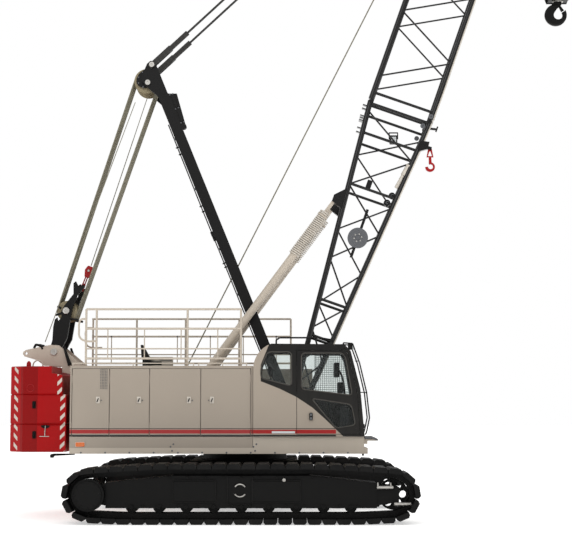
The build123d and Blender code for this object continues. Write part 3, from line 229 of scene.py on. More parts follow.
def twoToneEnamel(name, code, darkCode):
    # beige below a falling edge and black above it, masked and sprayed
    material, tree, bsdf, coords = newMaterial(name, Specular_IOR_Level=0.3)
    x, z = (addNode(tree, "SeparateXYZ", {"Vector": coords}, k) for k in "XZ")
    edge = None
    bends = [spot(x0, 0, z0) for x0, z0 in cabDivide["edge"]]
    for a, b in zip(bends, bends[1:]):
        slope = (b.z - a.z) / (b.x - a.x)
        height = addNode(tree, "Math", {0: x, 1: slope, 2: a.z - slope * a.x}, operation="MULTIPLY_ADD")
        edge = height if edge is None else addNode(tree, "Math", {0: edge, 1: height}, operation="MINIMUM")
    below = addNode(tree, "Math", {0: z, 1: edge}, operation="LESS_THAN")
    pillarX, pillarZ, lean = cabDivide["pillar"]
    corner = spot(pillarX, 0, pillarZ)
    rise = addNode(tree, "Math", {0: z, 1: corner.z}, operation="SUBTRACT")
    rise = addNode(tree, "Math", {0: rise, 1: 0.0}, operation="MAXIMUM")
    reach = addNode(tree, "Math", {0: rise, 1: lean, 2: corner.x}, operation="MULTIPLY_ADD")
    behind = addNode(tree, "Math", {0: x, 1: reach}, operation="LESS_THAN")
    beige = addNode(tree, "Math", {0: below, 1: behind}, operation="MAXIMUM")
    plain = shaded(tree, coords, code, 0.1)
    colour = addNode(tree, "Mix", {"Factor": beige, "A": linear(darkCode), "B": plain}, "Result",
                     data_type="RGBA")
    marked = lined(tree, coords, colour, 1.52)
    rear = addNode(tree, "Math", {0: x, 1: spot(cabDivide["lineEnd"], 0, 0).x}, operation="LESS_THAN")
    colour = addNode(tree, "Mix", {"Factor": rear, "A": colour, "B": marked}, "Result", data_type="RGBA")
    colour, mask = weathered(tree, coords, colour, "8f8878", 0.2)
    sprayed(tree, bsdf, coords, colour, mask, 0.32)
    return material


hazard = {                             # upright columns of slanting bars on the counterweight, in mm
    "columns": ((-4040, -3925, 1, 1170, 2655), (-3165, -3085, -1, 1170, 2165),
                (-3225, -3145, -1, 2165, 2655)),
    "pitch": 165,
    "white": "cdc5ba",
    "share": 0.42,                     # of a pitch that is light
    "recessShade": (-3870, -3565),            # painted shade: a darker upright band where the side falls back into a recess
}


def hazardEnamel(name, code):
    # reflecting bars stuck on red enamel: paler and a little smoother than the paint
    material, tree, bsdf, coords = newMaterial(name, Specular_IOR_Level=0.15)
    x, y, z = (addNode(tree, "SeparateXYZ", {"Vector": coords}, k) for k in "XYZ")
    mask = None
    for low, high, lean, bottom, top in hazard["columns"]:
        here = between(tree, x, spot(low, 0, 0).x, spot(high, 0, 0).x)
        level = between(tree, z, bottom / 1000, top / 1000)
        here = addNode(tree, "Math", {0: here, 1: level}, operation="MULTIPLY")
        slant = addNode(tree, "Math", {0: x, 1: float(lean), 2: z}, operation="MULTIPLY_ADD")
        turns = addNode(tree, "Math", {0: slant, 1: hazard["pitch"] / 1000}, operation="DIVIDE")
        part = addNode(tree, "Math", {0: turns}, operation="FRACT")
        light = addNode(tree, "Math", {0: part, 1: hazard["share"]}, operation="LESS_THAN")
        bar = addNode(tree, "Math", {0: light, 1: here}, operation="MULTIPLY")
        mask = bar if mask is None else addNode(tree, "Math", {0: mask, 1: bar}, operation="MAXIMUM")
    out = addNode(tree, "Math", {0: y}, operation="ABSOLUTE")
    side = addNode(tree, "Math", {0: out, 1: 1.3}, operation="GREATER_THAN")
    mask = addNode(tree, "Math", {0: mask, 1: side}, operation="MULTIPLY")
    plain = shaded(tree, coords, code, 0.3, 1.1)
    # painted shade: the red is darkened in an upright band over the recess
    dark = between(tree, x, spot(hazard["recessShade"][0], 0, 0).x, spot(hazard["recessShade"][1], 0, 0).x)
    dark = addNode(tree, "Math", {0: dark, 1: 0.35}, operation="MULTIPLY")
    plain = addNode(tree, "Mix", {"Factor": dark, "A": plain, "B": (0.02, 0, 0, 1)}, "Result",
                    data_type="RGBA")
    colour = addNode(tree, "Mix", {"Factor": mask, "A": plain, "B": linear(hazard["white"])}, "Result",
                     data_type="RGBA")
    colour, dust = weathered(tree, coords, colour, "5f4436", 0.2)
    sprayed(tree, bsdf, coords, colour, dust, 0.38)
    return material


def castSteel(name, darkCode, lightCode):
    # cast manganese steel, blackened, with a rough skin and dry dirt in its hollows
    material, tree, bsdf, coords = newMaterial(name, Metallic=0.1, Specular_IOR_Level=0.2)
    grain = addNode(tree, "TexNoise", {"Vector": coords, "Scale": 90.0, "Detail": 4.0, "Roughness": 0.6})
    wide = addNode(tree, "TexNoise", {"Vector": coords, "Scale": 3.0, "Detail": 3.0})
    part = addNode(tree, "MapRange", {"Value": wide, "From Min": 0.35, "From Max": 0.7})
    colour = addNode(tree, "Mix", {"Factor": part, "A": linear(darkCode), "B": linear(lightCode)}, "Result",
                     data_type="RGBA")
    rough = addNode(tree, "Math", {0: grain, 1: 0.25, 2: 0.45}, operation="MULTIPLY_ADD")
    bump = addNode(tree, "Bump", {"Height": grain, "Strength": 0.35, "Distance": 0.002})
    connect(tree, bsdf, Base_Color=colour, Roughness=rough, Normal=bump)
    return material


def turnedSteel(name, code, rough=0.3):
    # turned steel under a film of grease: fine tool marks and cloudy patches
    material, tree, bsdf, coords = newMaterial(name, Metallic=0.9)
    marks = addNode(tree, "TexNoise", {"Vector": coords, "Scale": 120.0, "Detail": 2.0})
    roughness = addNode(tree, "Math", {0: marks, 1: 0.25, 2: rough}, operation="MULTIPLY_ADD")
    bump = addNode(tree, "Bump", {"Height": marks, "Strength": 0.1, "Distance": 0.0006})
    connect(tree, bsdf, Base_Color=shaded(tree, coords, code, 0.5, 6.0), Roughness=roughness, Normal=bump)
    return material


def wireRope(name, code, darkCode):
    # galvanised six-strand wire rope: the lay shows as slanting lines, drawn at 60 mm so that it shows
    material, tree, bsdf, coords = newMaterial(name, Metallic=0.2, Roughness=0.55)
    lay = addNode(tree, "TexWave", {"Vector": coords, "Scale": 5.0, "Distortion": 0.6, "Detail": 1.0},
                  wave_type="BANDS", bands_direction="DIAGONAL")
    part = addNode(tree, "Math", {0: lay, 1: 0.4, 2: 0.6}, operation="MULTIPLY_ADD")
    colour = addNode(tree, "Mix", {"Factor": part, "A": linear(darkCode), "B": linear(code)}, "Result",
                     data_type="RGBA")
    bump = addNode(tree, "Bump", {"Height": lay, "Strength": 0.5, "Distance": 0.002})
    connect(tree, bsdf, Base_Color=colour, Normal=bump)
    return material


def laminatedGlass(name):
    # clear laminated glass with a faint grey tint and a film of dust
    material, tree, bsdf, coords = newMaterial(name, Transmission_Weight=1.0, IOR=1.3)
    film = addNode(tree, "TexNoise", {"Vector": coords, "Scale": 2.2, "Detail": 4.0})
    colour = addNode(tree, "Mix", {"Factor": film, "A": linear("dde4e2"), "B": linear("f0f3f2")}, "Result",
                     data_type="RGBA")
    rough = addNode(tree, "Math", {0: film, 1: 0.03}, operation="MULTIPLY")
    connect(tree, bsdf, Base_Color=colour, Roughness=rough)
    return material


def wovenCloth(name, code):
    # plain-woven seat cloth, threads drawn 3 mm apart so that they show
    material, tree, bsdf, coords = newMaterial(name, Roughness=0.9, Sheen_Weight=0.25)
    warp, weft = (addNode(tree, "TexWave", {"Vector": coords, "Scale": 105.0}, bands_direction=d)
                  for d in "XY")
    weave = addNode(tree, "Math", {0: warp, 1: weft}, operation="MAXIMUM")
    colour = addNode(tree, "Mix", {"Factor": weave, "A": linear("0d0d0e"), "B": linear(code)}, "Result",
                     data_type="RGBA")
    bump = addNode(tree, "Bump", {"Height": weave, "Strength": 0.4, "Distance": 0.0008})
    connect(tree, bsdf, Base_Color=colour, Normal=bump)
    return material


def mouldedPlastic(name, code, rough=0.5):
    # moulded ABS or rubber with a fine leather grain
    material, tree, bsdf, coords = newMaterial(name)
    cells = addNode(tree, "TexVoronoi", {"Vector": coords, "Scale": 340.0})
    roughness = addNode(tree, "Math", {0: cells, 1: 0.2, 2: rough}, operation="MULTIPLY_ADD")
    bump = addNode(tree, "Bump", {"Height": cells, "Strength": 0.25, "Distance": 0.0005})
    connect(tree, bsdf, Base_Color=shaded(tree, coords, code, 0.3, 8.0), Roughness=roughness, Normal=bump)
    return material


def pressedLens(name, code, ribs="X", clear=0.0):
    # pressed acrylic lens with ribs 25 mm apart
    material, tree, bsdf, coords = newMaterial(name, Transmission_Weight=clear, IOR=1.49, Roughness=0.15)
    wave = addNode(tree, "TexWave", {"Vector": coords, "Scale": 13.0}, bands_direction=ribs)
    part = addNode(tree, "Math", {0: wave, 1: 0.12}, operation="MULTIPLY")
    colour = addNode(tree, "Mix", {"Factor": part, "A": linear(code), "B": linear("f4f4f4")}, "Result",
                     data_type="RGBA")
    bump = addNode(tree, "Bump", {"Height": wave, "Strength": 0.5, "Distance": 0.002})
    connect(tree, bsdf, Base_Color=colour, Normal=bump)
    return material


def sheetSteel(name, code, sootCode, edge):
    # aluminised sheet, dull grey, sooted black behind the edge where the gas leaves
    material, tree, bsdf, coords = newMaterial(name, Specular_IOR_Level=0.3)
    x = addNode(tree, "SeparateXYZ", {"Vector": coords}, "X")
    soot = addNode(tree, "MapRange", {"Value": x, "From Min": spot(edge - 40, 0, 0).x,
                                      "From Max": spot(edge + 60, 0, 0).x})
    colour = addNode(tree, "Mix", {"Factor": soot, "A": linear(sootCode), "B": linear(code)}, "Result",
                     data_type="RGBA")
    colour, mask = weathered(tree, coords, colour, "6b6458", 0.4)
    sprayed(tree, bsdf, coords, colour, mask, 0.45)
    return material


beigeEnamel = sprayedEnamel("beigeEnamel", "cbbfaf")
paleEnamel = sprayedEnamel("paleEnamel", "d8d0c4")
housePaint = linedEnamel("housePaint", "a99d8f")
cabPaint = twoToneEnamel("cabPaint", "aca092", "0c0b0b")
weightPaint = hazardEnamel("weightPaint", "b0040a")
redEnamel = sprayedEnamel("redEnamel", "a8040b", dust="6d3f32", dirt=0.2, coat=0.0, shine=0.3)
blackEnamel = sprayedEnamel("blackEnamel", "0d0c0c", dust="2c2a27", gloss=0.42, coat=0.0, shine=0.2)
boomEnamel = sprayedEnamel("boomEnamel", "0d0c0c", dust="2c2a27", gloss=0.2, coat=0.35, shine=0.3)
lowerBlack = sprayedEnamel("lowerBlack", "090909", dust="24221f", dirt=0.4, gloss=0.5, coat=0.0, shine=0.15)
greyEnamel = sprayedEnamel("greyEnamel", "5d5f63")
trackSteel = castSteel("trackSteel", "070707", "141312")
sheaveSteel = turnedSteel("sheaveSteel", "a89c80", 0.4)
pinSteel = turnedSteel("pinSteel", "d4d1cb", 0.3)
ropeSteel = wireRope("ropeSteel", "8b8673", "5d594c")
pendantSteel = wireRope("pendantSteel", "2f2e2b", "161615")
cabGlass = laminatedGlass("cabGlass")
seatCloth = wovenCloth("seatCloth", "26262a")
consolePlastic = mouldedPlastic("consolePlastic", "1c1c1e")
sealRubber = mouldedPlastic("sealRubber", "0a0a0a", 0.7)
# rubber in a lighter grey than the black seals: a painted highlight along the window gaskets
gasketHighlightRubber = mouldedPlastic("gasketHighlightRubber", "4b4843", 0.6)
amberLens = pressedLens("amberLens", "e06a08")
clearLens = pressedLens("clearLens", "d5dadb")

silencer = sheetSteel("silencer", "a8a196", "0e0d0d", -1800)

paints = (
    (silencer, "exhaust"),
    (housePaint, "house_left house_right right_door_1 right_door_2 right_door_3 right_door_4 "
                 "left_door_1 left_door_2 left_door_3 left_door_4"),
    (cabPaint, "cab_shell cab_door"),
    (weightPaint, "counterweight_lower counterweight_middle counterweight_upper"),
    (beigeEnamel, "upper_frame deck_left deck_right cab_base handrails "
                  "backstop_tubes backstop_rods backstop_springs"),
    (boomEnamel, "boom_base_section boom_top_section"),
    (blackEnamel, "mast bail hook_block hook cab_guards"),
    (redEnamel, "whip_hook"),
    (lowerBlack, "side_frame_left side_frame_right carbody final_drives engine seat_base swing_ring"),
    (trackSteel, "track_left track_right rollers drive_sprockets idlers"),
    (greyEnamel, "front_winch rear_winch boom_hoist_winch boom_reel"),
    (sheaveSteel, "head_sheaves mast_sheaves bail_sheaves"),
    (pendantSteel, "pendants"),
    (cabGlass, "cab_glass cab_door_glass"),
    (seatCloth, "operator_seat"),
    (consolePlastic, "cab_consoles"),
)
for material, names in paints:
    for name in names.split():
        nodes[name].data.materials.clear()
        nodes[name].data.materials.append(material)
print("paint done")


# ---- shaping helpers

def pickFaces(piece, test):
    # leaves edit mode on, with only the faces that pass the test selected
    choose(piece)
    bpy.ops.object.mode_set(mode="EDIT")
    bpy.ops.mesh.select_mode(type="FACE")
    bpy.ops.mesh.select_all(action="DESELECT")
    bpy.ops.object.mode_set(mode="OBJECT")
    for face in piece.data.polygons:
        face.select = bool(test(face))
    bpy.ops.object.mode_set(mode="EDIT")


def leaveEdit():
    bpy.ops.object.mode_set(mode="OBJECT")


def modify(piece, kind, **values):
    # adds a modifier with its values and applies it
    modifier = piece.modifiers.new("shape", kind)
    for key, value in values.items():
        setattr(modifier, key, value)
    choose(piece)
    bpy.ops.object.modifier_apply(modifier=modifier.name)


def applyPlace(piece):
    choose(piece)
    bpy.ops.object.transform_apply(location=True, rotation=True, scale=True)


slotOf = {                             # the slot that each paint stands in, unless a piece names another
    "ropeSteel": "rope_steel",
    "paleEnamel": "beige_enamel",
    "redEnamel": "red_enamel",
    "blackEnamel": "black_enamel",
    "pinSteel": "bare_steel",
    "greyEnamel": "grey_enamel",
    "sealRubber": "console_plastic",
    "clearLens": "safety_glass",
    "lowerBlack": "black_enamel",
    "beigeEnamel": "beige_enamel",
    "consolePlastic": "console_plastic",
    "amberLens": "safety_glass",
    "seatCloth": "seat_fabric",
    "gasketHighlightRubber": "console_plastic",
}


def finishPiece(parts, name, material, body, slot=None):
    # joins the parts, writes their places into the mesh and lets the piece ride on its body
    deselectAll()
    for part in parts:
        part.select_set(True)
    bpy.context.view_layer.objects.active = parts[0]
    if len(parts) > 1:
        bpy.ops.object.join()
    piece = bpy.context.object
    applyPlace(piece)
    bpy.ops.object.mode_set(mode="EDIT")
    bpy.ops.mesh.select_all(action="SELECT")
    bpy.ops.mesh.remove_doubles(threshold=0.00005)
    bpy.ops.mesh.normals_make_consistent(inside=False)
    bpy.ops.object.mode_set(mode="OBJECT")
    bpy.ops.object.shade_smooth_by_angle(angle=math.radians(35))
    piece.name = piece.data.name = name
    piece.data.materials.clear()
    piece.data.materials.append(material)
    if body:
        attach(piece, body)
    slot = slot or slotOf[material.name]
    return piece


def copiesAt(piece, places):
    # the piece is modelled at the origin, pointing up; each place is (point, way it points)
    twins = []
    for point, way in places:
        twin = piece.copy()
        twin.data = piece.data.copy()
        bpy.context.collection.objects.link(twin)
        twin.matrix_world = Matrix.Translation(point) @ turnedTo(way)
        twins.append(twin)
    bpy.data.objects.remove(piece)
    return twins


def roundBar(start, end, radius, sides=12):
    # a bar with chamfered ends
    start, end = Vector(start), Vector(end)
    deselectAll()
    bpy.ops.mesh.primitive_cylinder_add(vertices=sides, radius=radius, depth=(end - start).length,
                                        end_fill_type="NGON")
    bar = bpy.context.object
    pickFaces(bar, lambda f: abs(f.normal.z) > 0.9)
    bpy.ops.mesh.bevel(offset=min(radius * 0.25, 0.006), segments=1)
    leaveEdit()
    bar.matrix_world = Matrix.Translation((start + end) / 2) @ turnedTo(end - start)
    applyPlace(bar)
    return bar


def blockPiece(low, high, edge=0.006):
    # a block with broken edges
    low, high = Vector(low), Vector(high)
    deselectAll()
    bpy.ops.mesh.primitive_cube_add(size=1.0, location=(low + high) / 2)
    block = bpy.context.object
    block.scale = high - low
    applyPlace(block)
    modify(block, "BEVEL", width=edge, segments=2)
    return block


def plateFrom(points, depth, edge=0.003):
    # a plate cut to an outline of points that lie in one upright plane, thickened by depth along Y
    deselectAll()
    bpy.ops.mesh.primitive_circle_add(vertices=len(points), radius=1.0, fill_type="NGON")
    sheet = bpy.context.object
    for vertex, point in zip(sheet.data.vertices, points):
        vertex.co = point
    bpy.ops.object.mode_set(mode="EDIT")
    bpy.ops.mesh.select_all(action="SELECT")
    bpy.ops.mesh.extrude_region_move(TRANSFORM_OT_translate={"value": (0, depth, 0)})
    bpy.ops.mesh.select_all(action="SELECT")
    bpy.ops.mesh.normals_make_consistent(inside=False)
    leaveEdit()
    if edge:
        modify(sheet, "BEVEL", width=edge, segments=1, limit_method="ANGLE")
    return sheet


def bentPipe(points, radius, closed=False, sides=2, smooth=True):
    # a pipe or seal drawn along points, made mesh at once
    deselectAll()
    bpy.ops.curve.primitive_bezier_curve_add()
    curve = bpy.context.object
    curve.data.splines.clear()
    kind = "BEZIER" if smooth else "POLY"
    spline = curve.data.splines.new(kind)
    if smooth:
        spline.bezier_points.add(len(points) - 1)
        for knot, point in zip(spline.bezier_points, points):
            knot.co = point
            knot.handle_left_type = knot.handle_right_type = "AUTO"
    else:
        spline.points.add(len(points) - 1)
        for knot, point in zip(spline.points, points):
            knot.co = (*point, 1.0)
    spline.use_cyclic_u = closed
    curve.data.dimensions = "3D"
    curve.data.resolution_u = 6
    curve.data.bevel_depth = radius
    curve.data.bevel_resolution = sides
    curve.data.use_fill_caps = not closed
    bpy.ops.object.convert(target="MESH")
    return bpy.context.object


def rounded(points, radius, steps=4):
    # corner points of a closed outline cut back to arcs
    out = []
    for i, point in enumerate(points):
        point = Vector(point)
        before, after = Vector(points[i - 1]), Vector(points[(i + 1) % len(points)])
        a = point + (before - point).normalized() * radius
        b = point + (after - point).normalized() * radius
        for k in range(steps + 1):
            t = k / steps
            out.append(a * (1 - t) ** 2 + point * 2 * t * (1 - t) + b * t ** 2)
    return out


def hexBolt(across, height):
    # bolt head with a washer, standing on the plane z = 0
    deselectAll()
    bpy.ops.mesh.primitive_cylinder_add(vertices=6, radius=across / 2, depth=height,
                                        location=(0, 0, height / 2))
    bolt = bpy.context.object
    applyPlace(bolt)
    pickFaces(bolt, lambda f: f.normal.z > 0.9)
    bpy.ops.mesh.inset(thickness=across * 0.08)
    bpy.ops.transform.translate(value=(0, 0, height * 0.12))
    leaveEdit()
    pickFaces(bolt, lambda f: f.normal.z < -0.9)
    bpy.ops.mesh.extrude_region_move(TRANSFORM_OT_translate={"value": (0, 0, -0.001)})
    bpy.ops.transform.resize(value=(1.35, 1.35, 1))
    leaveEdit()
    return bolt


def pinCap(radius, height):
    # turned end of a pin: chamfered rim and a drilled centre
    deselectAll()
    bpy.ops.mesh.primitive_cylinder_add(vertices=20, radius=radius, depth=height, location=(0, 0, height / 2))
    cap = bpy.context.object
    applyPlace(cap)
    pickFaces(cap, lambda f: f.normal.z > 0.9)
    bpy.ops.mesh.bevel(offset=min(radius, height) * 0.2, segments=1)
    leaveEdit()
    pickFaces(cap, lambda f: f.normal.z > 0.9)
    bpy.ops.mesh.inset(thickness=radius * 0.55)
    bpy.ops.mesh.extrude_region_move(TRANSFORM_OT_translate={"value": (0, 0, -height * 0.4)})
    leaveEdit()
    return cap


# ---- ropes

ropeSizes = {                          # radii in metres
    "boomHoist": 0.0115,
    "hoist": 0.012,
    "guy": 0.008,
}


def straightRope(start, end, radius, cuts=4):
    # a filled eight-sided circle drawn out along the rope in steps
    start, end = Vector(start), Vector(end)
    deselectAll()
    bpy.ops.mesh.primitive_circle_add(vertices=8, radius=radius, fill_type="NGON")
    rope = bpy.context.object
    bpy.ops.object.mode_set(mode="EDIT")
    step = (end - start).length / cuts
    for _ in range(cuts):
        bpy.ops.mesh.extrude_region_move(TRANSFORM_OT_translate={"value": (0, 0, step)})
    bpy.ops.mesh.select_all(action="SELECT")
    bpy.ops.mesh.normals_make_consistent(inside=False)
    leaveEdit()
    rope.matrix_world = Matrix.Translation(start) @ turnedTo(end - start)
    applyPlace(rope)
    return rope


boomHoist = {                          # each run: name, body, from, to, sheave radii, parts, reach in metres
    "pitch": 0.062,                    # both reaches together span the distance at the boom's low limit
    "runs": (("boomHoistLower", "bail", "bail_sheaves", "mast_sheaves", 0.183, 0.222, 7, 3.6),
             ("boomHoistUpper", "mast_sheaves", "mast_sheaves", "bail_sheaves", 0.222, 0.183, 8, 4.6)),
}


def boomHoistRopes():
    # parts between bail and mast, as two overlapping runs that slide in each other as the mast moves
    for i, (name, body, near, far, radius, farRadius, count, reach) in enumerate(boomHoist["runs"]):
        start, end = nodeCentre(near), nodeCentre(far)
        start.y = end.y = 0.0
        way = (end - start).normalized()
        across = Vector((way.z, 0, -way.x))
        parts = []
        for k in range(count):
            y = Vector((0, (k - (count - 1) / 2) * boomHoist["pitch"], 0))
            for s in (-1, 1):
                a, b = start + across * s * radius + y, end + across * s * farRadius + y
                b = a + (b - a).normalized() * reach
                parts.append(straightRope(a, b, ropeSizes["boomHoist"] - 0.0015 * i))
        finishPiece(parts, name, ropeSteel, body)


def hoistRope():
    # main rope from the rear drum to the boom's peak
    drum = nodeCentre("rear_winch")
    start = Vector((drum.x + 0.23, 0, drum.z + 0.1))
    peak = onBoom(13780, 430, 0)
    rope = finishPiece([straightRope(start, peak, ropeSizes["hoist"], 24)], "hoistRope", ropeSteel, None)
    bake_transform(rope)


def hookFalls():
    # parts between head sheaves and hook block
    head, low = nodeCentre("head_sheaves"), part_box("hook_block")[1].z - 0.25
    parts = [straightRope((head.x + s * 0.2, y, low), (head.x + s * 0.3, y, head.z), ropeSizes["hoist"], 10)
             for y in (-0.08, 0.0, 0.08) for s in (-1, 1)]
    falls = finishPiece(parts, "hookFalls", ropeSteel, None)
    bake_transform(falls)


guys = (                               # thin ropes to the mast head: foot, head, reach from each in metres
    ("hornGuy", (-3640, -330, 3125), (-2040, -330, 7560), 3.7, 4.7),
    ("turnbuckleGuy", (-2865, 0, 4550), (-1801, 0, 7866), 2.5, 3.48),
)


def guyRopes():
    for name, foot, head, up, down in guys:
        a, b = spot(*foot), spot(*head)
        way = (b - a).normalized()
        finishPiece([straightRope(a, a + way * up, ropeSizes["guy"])], name + "Lower", ropeSteel, "bail")
        finishPiece([straightRope(b, b - way * down, ropeSizes["guy"] - 0.001)], name + "Upper", ropeSteel,
                    "mast_sheaves")


drumWinding = {                        # radius and half width of each drum, and the rope's pitch on them
    "drums": {"front_winch": (0.25, 0.37), "rear_winch": (0.25, 0.37), "boom_hoist_winch": (0.2, 0.32)},
    "pitch": 0.028,
}


def woundRopes():
    # one layer of rope on each drum, spun as a screw along the shaft
    pitch = drumWinding["pitch"]
    for name, (radius, half) in drumWinding["drums"].items():
        centre = nodeCentre(name)
        turns = int(2 * half / pitch)
        deselectAll()
        bpy.ops.mesh.primitive_circle_add(vertices=6, radius=pitch * 0.48, fill_type="NGON",
                                          location=(radius + pitch * 0.48, 0, 0),
                                          rotation=(math.radians(90), 0, 0))
        coil = bpy.context.object
        applyPlace(coil)
        modify(coil, "SCREW", iterations=turns, screw_offset=pitch, steps=24, render_steps=24)
        coil.matrix_world = (Matrix.Translation((centre.x, -turns * pitch / 2, centre.z))
                             @ Matrix.Rotation(math.radians(-90), 4, "X"))
        finishPiece([coil], name + "Rope", ropeSteel, "upperworks")


boomHoistRopes()
hoistRope()
hookFalls()
guyRopes()
woundRopes()
print("ropes done")


# ---- backstop springs

springSizes = {                        # metres; the coil ends just below the boom's eye
    "wire": 0.013,
    "radius": 0.09,
    "turns": 26,
    "half": 0.5,
    "shift": 0.1,
    "rise": 4.0259,                    # of the backstop from foot to eye, over its run
    "run": 3.005,
    "side": 0.575,
}


def backstopSprings():
    # wire section spun up round each rod
    lean = math.atan2(springSizes["rise"], springSizes["run"])
    way = Vector((math.cos(lean), 0, math.sin(lean)))
    centre = nodeCentre("backstop_springs")
    half, shift = springSizes["half"], springSizes["shift"]
    coils = []
    for y in (-springSizes["side"], springSizes["side"]):
        start = Vector((centre.x, y, centre.z)) + way * (shift - half)
        deselectAll()
        bpy.ops.mesh.primitive_circle_add(vertices=8, radius=springSizes["wire"], fill_type="NGON",
                                          location=(springSizes["radius"], 0, 0),
                                          rotation=(math.radians(90), 0, 0))
        coil = bpy.context.object
        applyPlace(coil)
        pitch = 2 * (half - springSizes["wire"]) / springSizes["turns"]
        modify(coil, "SCREW", iterations=springSizes["turns"], screw_offset=pitch, steps=20, render_steps=20)
        coil.matrix_world = Matrix.Translation(start + way * springSizes["wire"]) @ turnedTo(way)
        coils.append(coil)
    springs = finishPiece(coils, "backstopCoils", paleEnamel, "backstop_rods")
    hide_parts("backstop_springs")


backstopSprings()
print("springs done")


# ---- bail and mast head

turnbuckle = {                         # millimetres along the red link, from its foot
    "foot": (-3040, 0, 4080),
    "head": (-2868, 0, 4545),
}


def redTurnbuckle():
    foot, head = spot(*turnbuckle["foot"]), spot(*turnbuckle["head"])
    way = (head - foot).normalized()
    length = (head - foot).length
    side = Vector((way.z, 0, -way.x))
    parts = []
    for s in (-1, 1):
        for a, b, out, r in ((0.03, 0.13, 0.022, 0.016), (0.14, 0.3, 0.018, 0.012)):
            parts.append(roundBar(foot + way * a + side * s * out, foot + way * b + side * s * out, r))
    for a, b, r in ((0.0, 0.045, 0.042), (0.12, 0.15, 0.034), (0.29, 0.33, 0.036)):
        parts.append(roundBar(foot + way * a, foot + way * b, r, 16))
    block = foot + way * (length - 0.095)
    for y in (-0.05, 0.035):
        corners = rounded([block + side * a + way * b + Vector((0, y, 0))
                           for a, b in ((-0.035, -0.13), (0.035, -0.13), (0.085, -0.03), (0.075, 0.09),
                                        (-0.045, 0.09), (-0.075, 0.0))], 0.02)
        parts.append(plateFrom(corners, 0.015))
    parts.append(roundBar(block + Vector((0, -0.03, 0)), block + Vector((0, 0.03, 0)), 0.055, 20))
    finishPiece(parts, "redTurnbuckle", redEnamel, "bail")
    rod = [roundBar(spot(-3100, 0, 3900), foot + way * 0.01, 0.02)]
    finishPiece(rod, "turnbuckleRod", blackEnamel, "bail")
    bolts = copiesAt(pinCap(0.022, 0.02), [(block + Vector((0, -0.05, 0)), (0, -1, 0)),
                                           (block + Vector((0, 0.05, 0)), (0, 1, 0)),
                                           (foot + Vector((0, -0.04, 0)), (0, -1, 0))])
    finishPiece(bolts, "turnbucklePins", pinSteel, "bail")


def bailTrim():
    shaft, pin = nodeCentre("bail_sheaves"), jointAt["bail_pivot"]
    places = []
    for y in (-1, 1):
        places += [((shaft.x, y * 0.352, shaft.z), (0, y, 0)), ((pin.x, y * 0.408, pin.z), (0, y, 0))]
    caps = copiesAt(pinCap(0.062, 0.03), places)
    finishPiece(caps, "bailPinCaps", pinSteel, "bail")
    studs = []
    for y in (-0.30, 0.30):
        for a, b in (((-3462, 3620), (-3330, 3655)), ((-3250, 3560), (-3040, 3530)),
                     ((-3430, 3780), (-3360, 3740))):
            studs.append(roundBar(spot(a[0], y * 1000, a[1]), spot(b[0], y * 1000, b[1]), 0.021))
    finishPiece(studs, "bailStuds", blackEnamel, "bail")


def mastTrim():
    places = []
    for s in (-1, 1):
        places.append((onMast(7148, -14, s * 437), (0, s, 0)))
        places.append((onMast(6870, 178, s * 418), (0, s, 0)))
        places.append((jointAt["mast_luff"] + Vector((0, s * 0.42, 0)), (0, s, 0)))
    caps = copiesAt(pinCap(0.05, 0.022), places)
    finishPiece(caps, "mastPinCaps", pinSteel, "mast")
    lids = []
    for u0, u1 in ((5950, 6200), (6230, 6480)):
        points = [onMast(u0, -125, -409), onMast(u1, -125, -409), onMast(u1, -195, -409),
                  onMast(u0, -165, -409)]
        lids.append(plateFrom(rounded(points, 0.012), -0.012))
    finishPiece(lids, "mastBoxLids", blackEnamel, "mast")
    bolts = [(onMast(u, w, -409), (0, -1, 0)) for u in (5935, 6215, 6500) for w in (-112, -172)]
    finishPiece(copiesAt(hexBolt(0.022, 0.01), bolts), "mastBoxBolts", greyEnamel, "mast")
    hose = [onMast(u, w, y) for u, w, y in ((900, 118, -365), (2200, 122, -372), (3100, 120, -360),
                                            (4200, 124, -368), (5300, 120, -362), (6000, 118, -360))]
    finishPiece([bentPipe(hose, 0.011)], "mastHose", sealRubber, "mast", "black_enamel")
    clips, turn = [], Matrix.Rotation(-mastAngle, 4, "Y")
    for u in (1400, 2600, 3500, 4700, 5700):
        clips.append(blockPiece((-0.02, -0.028, -0.018), (0.02, 0.028, 0.018), 0.004))
        clips[-1].matrix_world = Matrix.Translation(onMast(u, 112, -365)) @ turn
        applyPlace(clips[-1])
    finishPiece(clips, "mastHoseClips", greyEnamel, "mast")


def mastCheeks():
    # round cheek plates outside the sheaves, with a bolted rim
    plates, bolts = [], []
    for s in (-1, 1):
        points = [onMast(u, w, s * 285) for u, w in ((6800, 60), (6790, 150), (6820, 260), (6880, 350),
                                                     (6960, 380), (7040, 350), (7110, 270), (7150, 150),
                                                     (7160, 20), (7060, -80), (6900, -80))]
        plates.append(plateFrom(rounded(points, 0.03), s * 0.016))
        bolts += [(onMast(u, w, s * 301), (0, s, 0))
                  for u, w in ((6850, 290), (6950, 340), (7050, 300), (7110, 200), (6820, 130))]
    finishPiece(plates, "mastCheeks", blackEnamel, "mast")
    finishPiece(copiesAt(hexBolt(0.03, 0.012), bolts), "mastCheekBolts", greyEnamel, "mast")


redTurnbuckle()
mastCheeks()
bailTrim()
mastTrim()
print("bail and mast trim done")


# ---- boom trim

boomWidth = {"low": (0, 520), "high": (6100, 587)}     # distance up the boom, half width there
boomDepth = {"foot": 75, "gain": 512, "length": 6100}  # the base section's half depth grows by the gain


def boomHalf(u):
    (u0, h0), (u1, h1) = boomWidth["low"], boomWidth["high"]
    return h0 + (h1 - h0) * min(max((u - u0) / (u1 - u0), 0), 1)


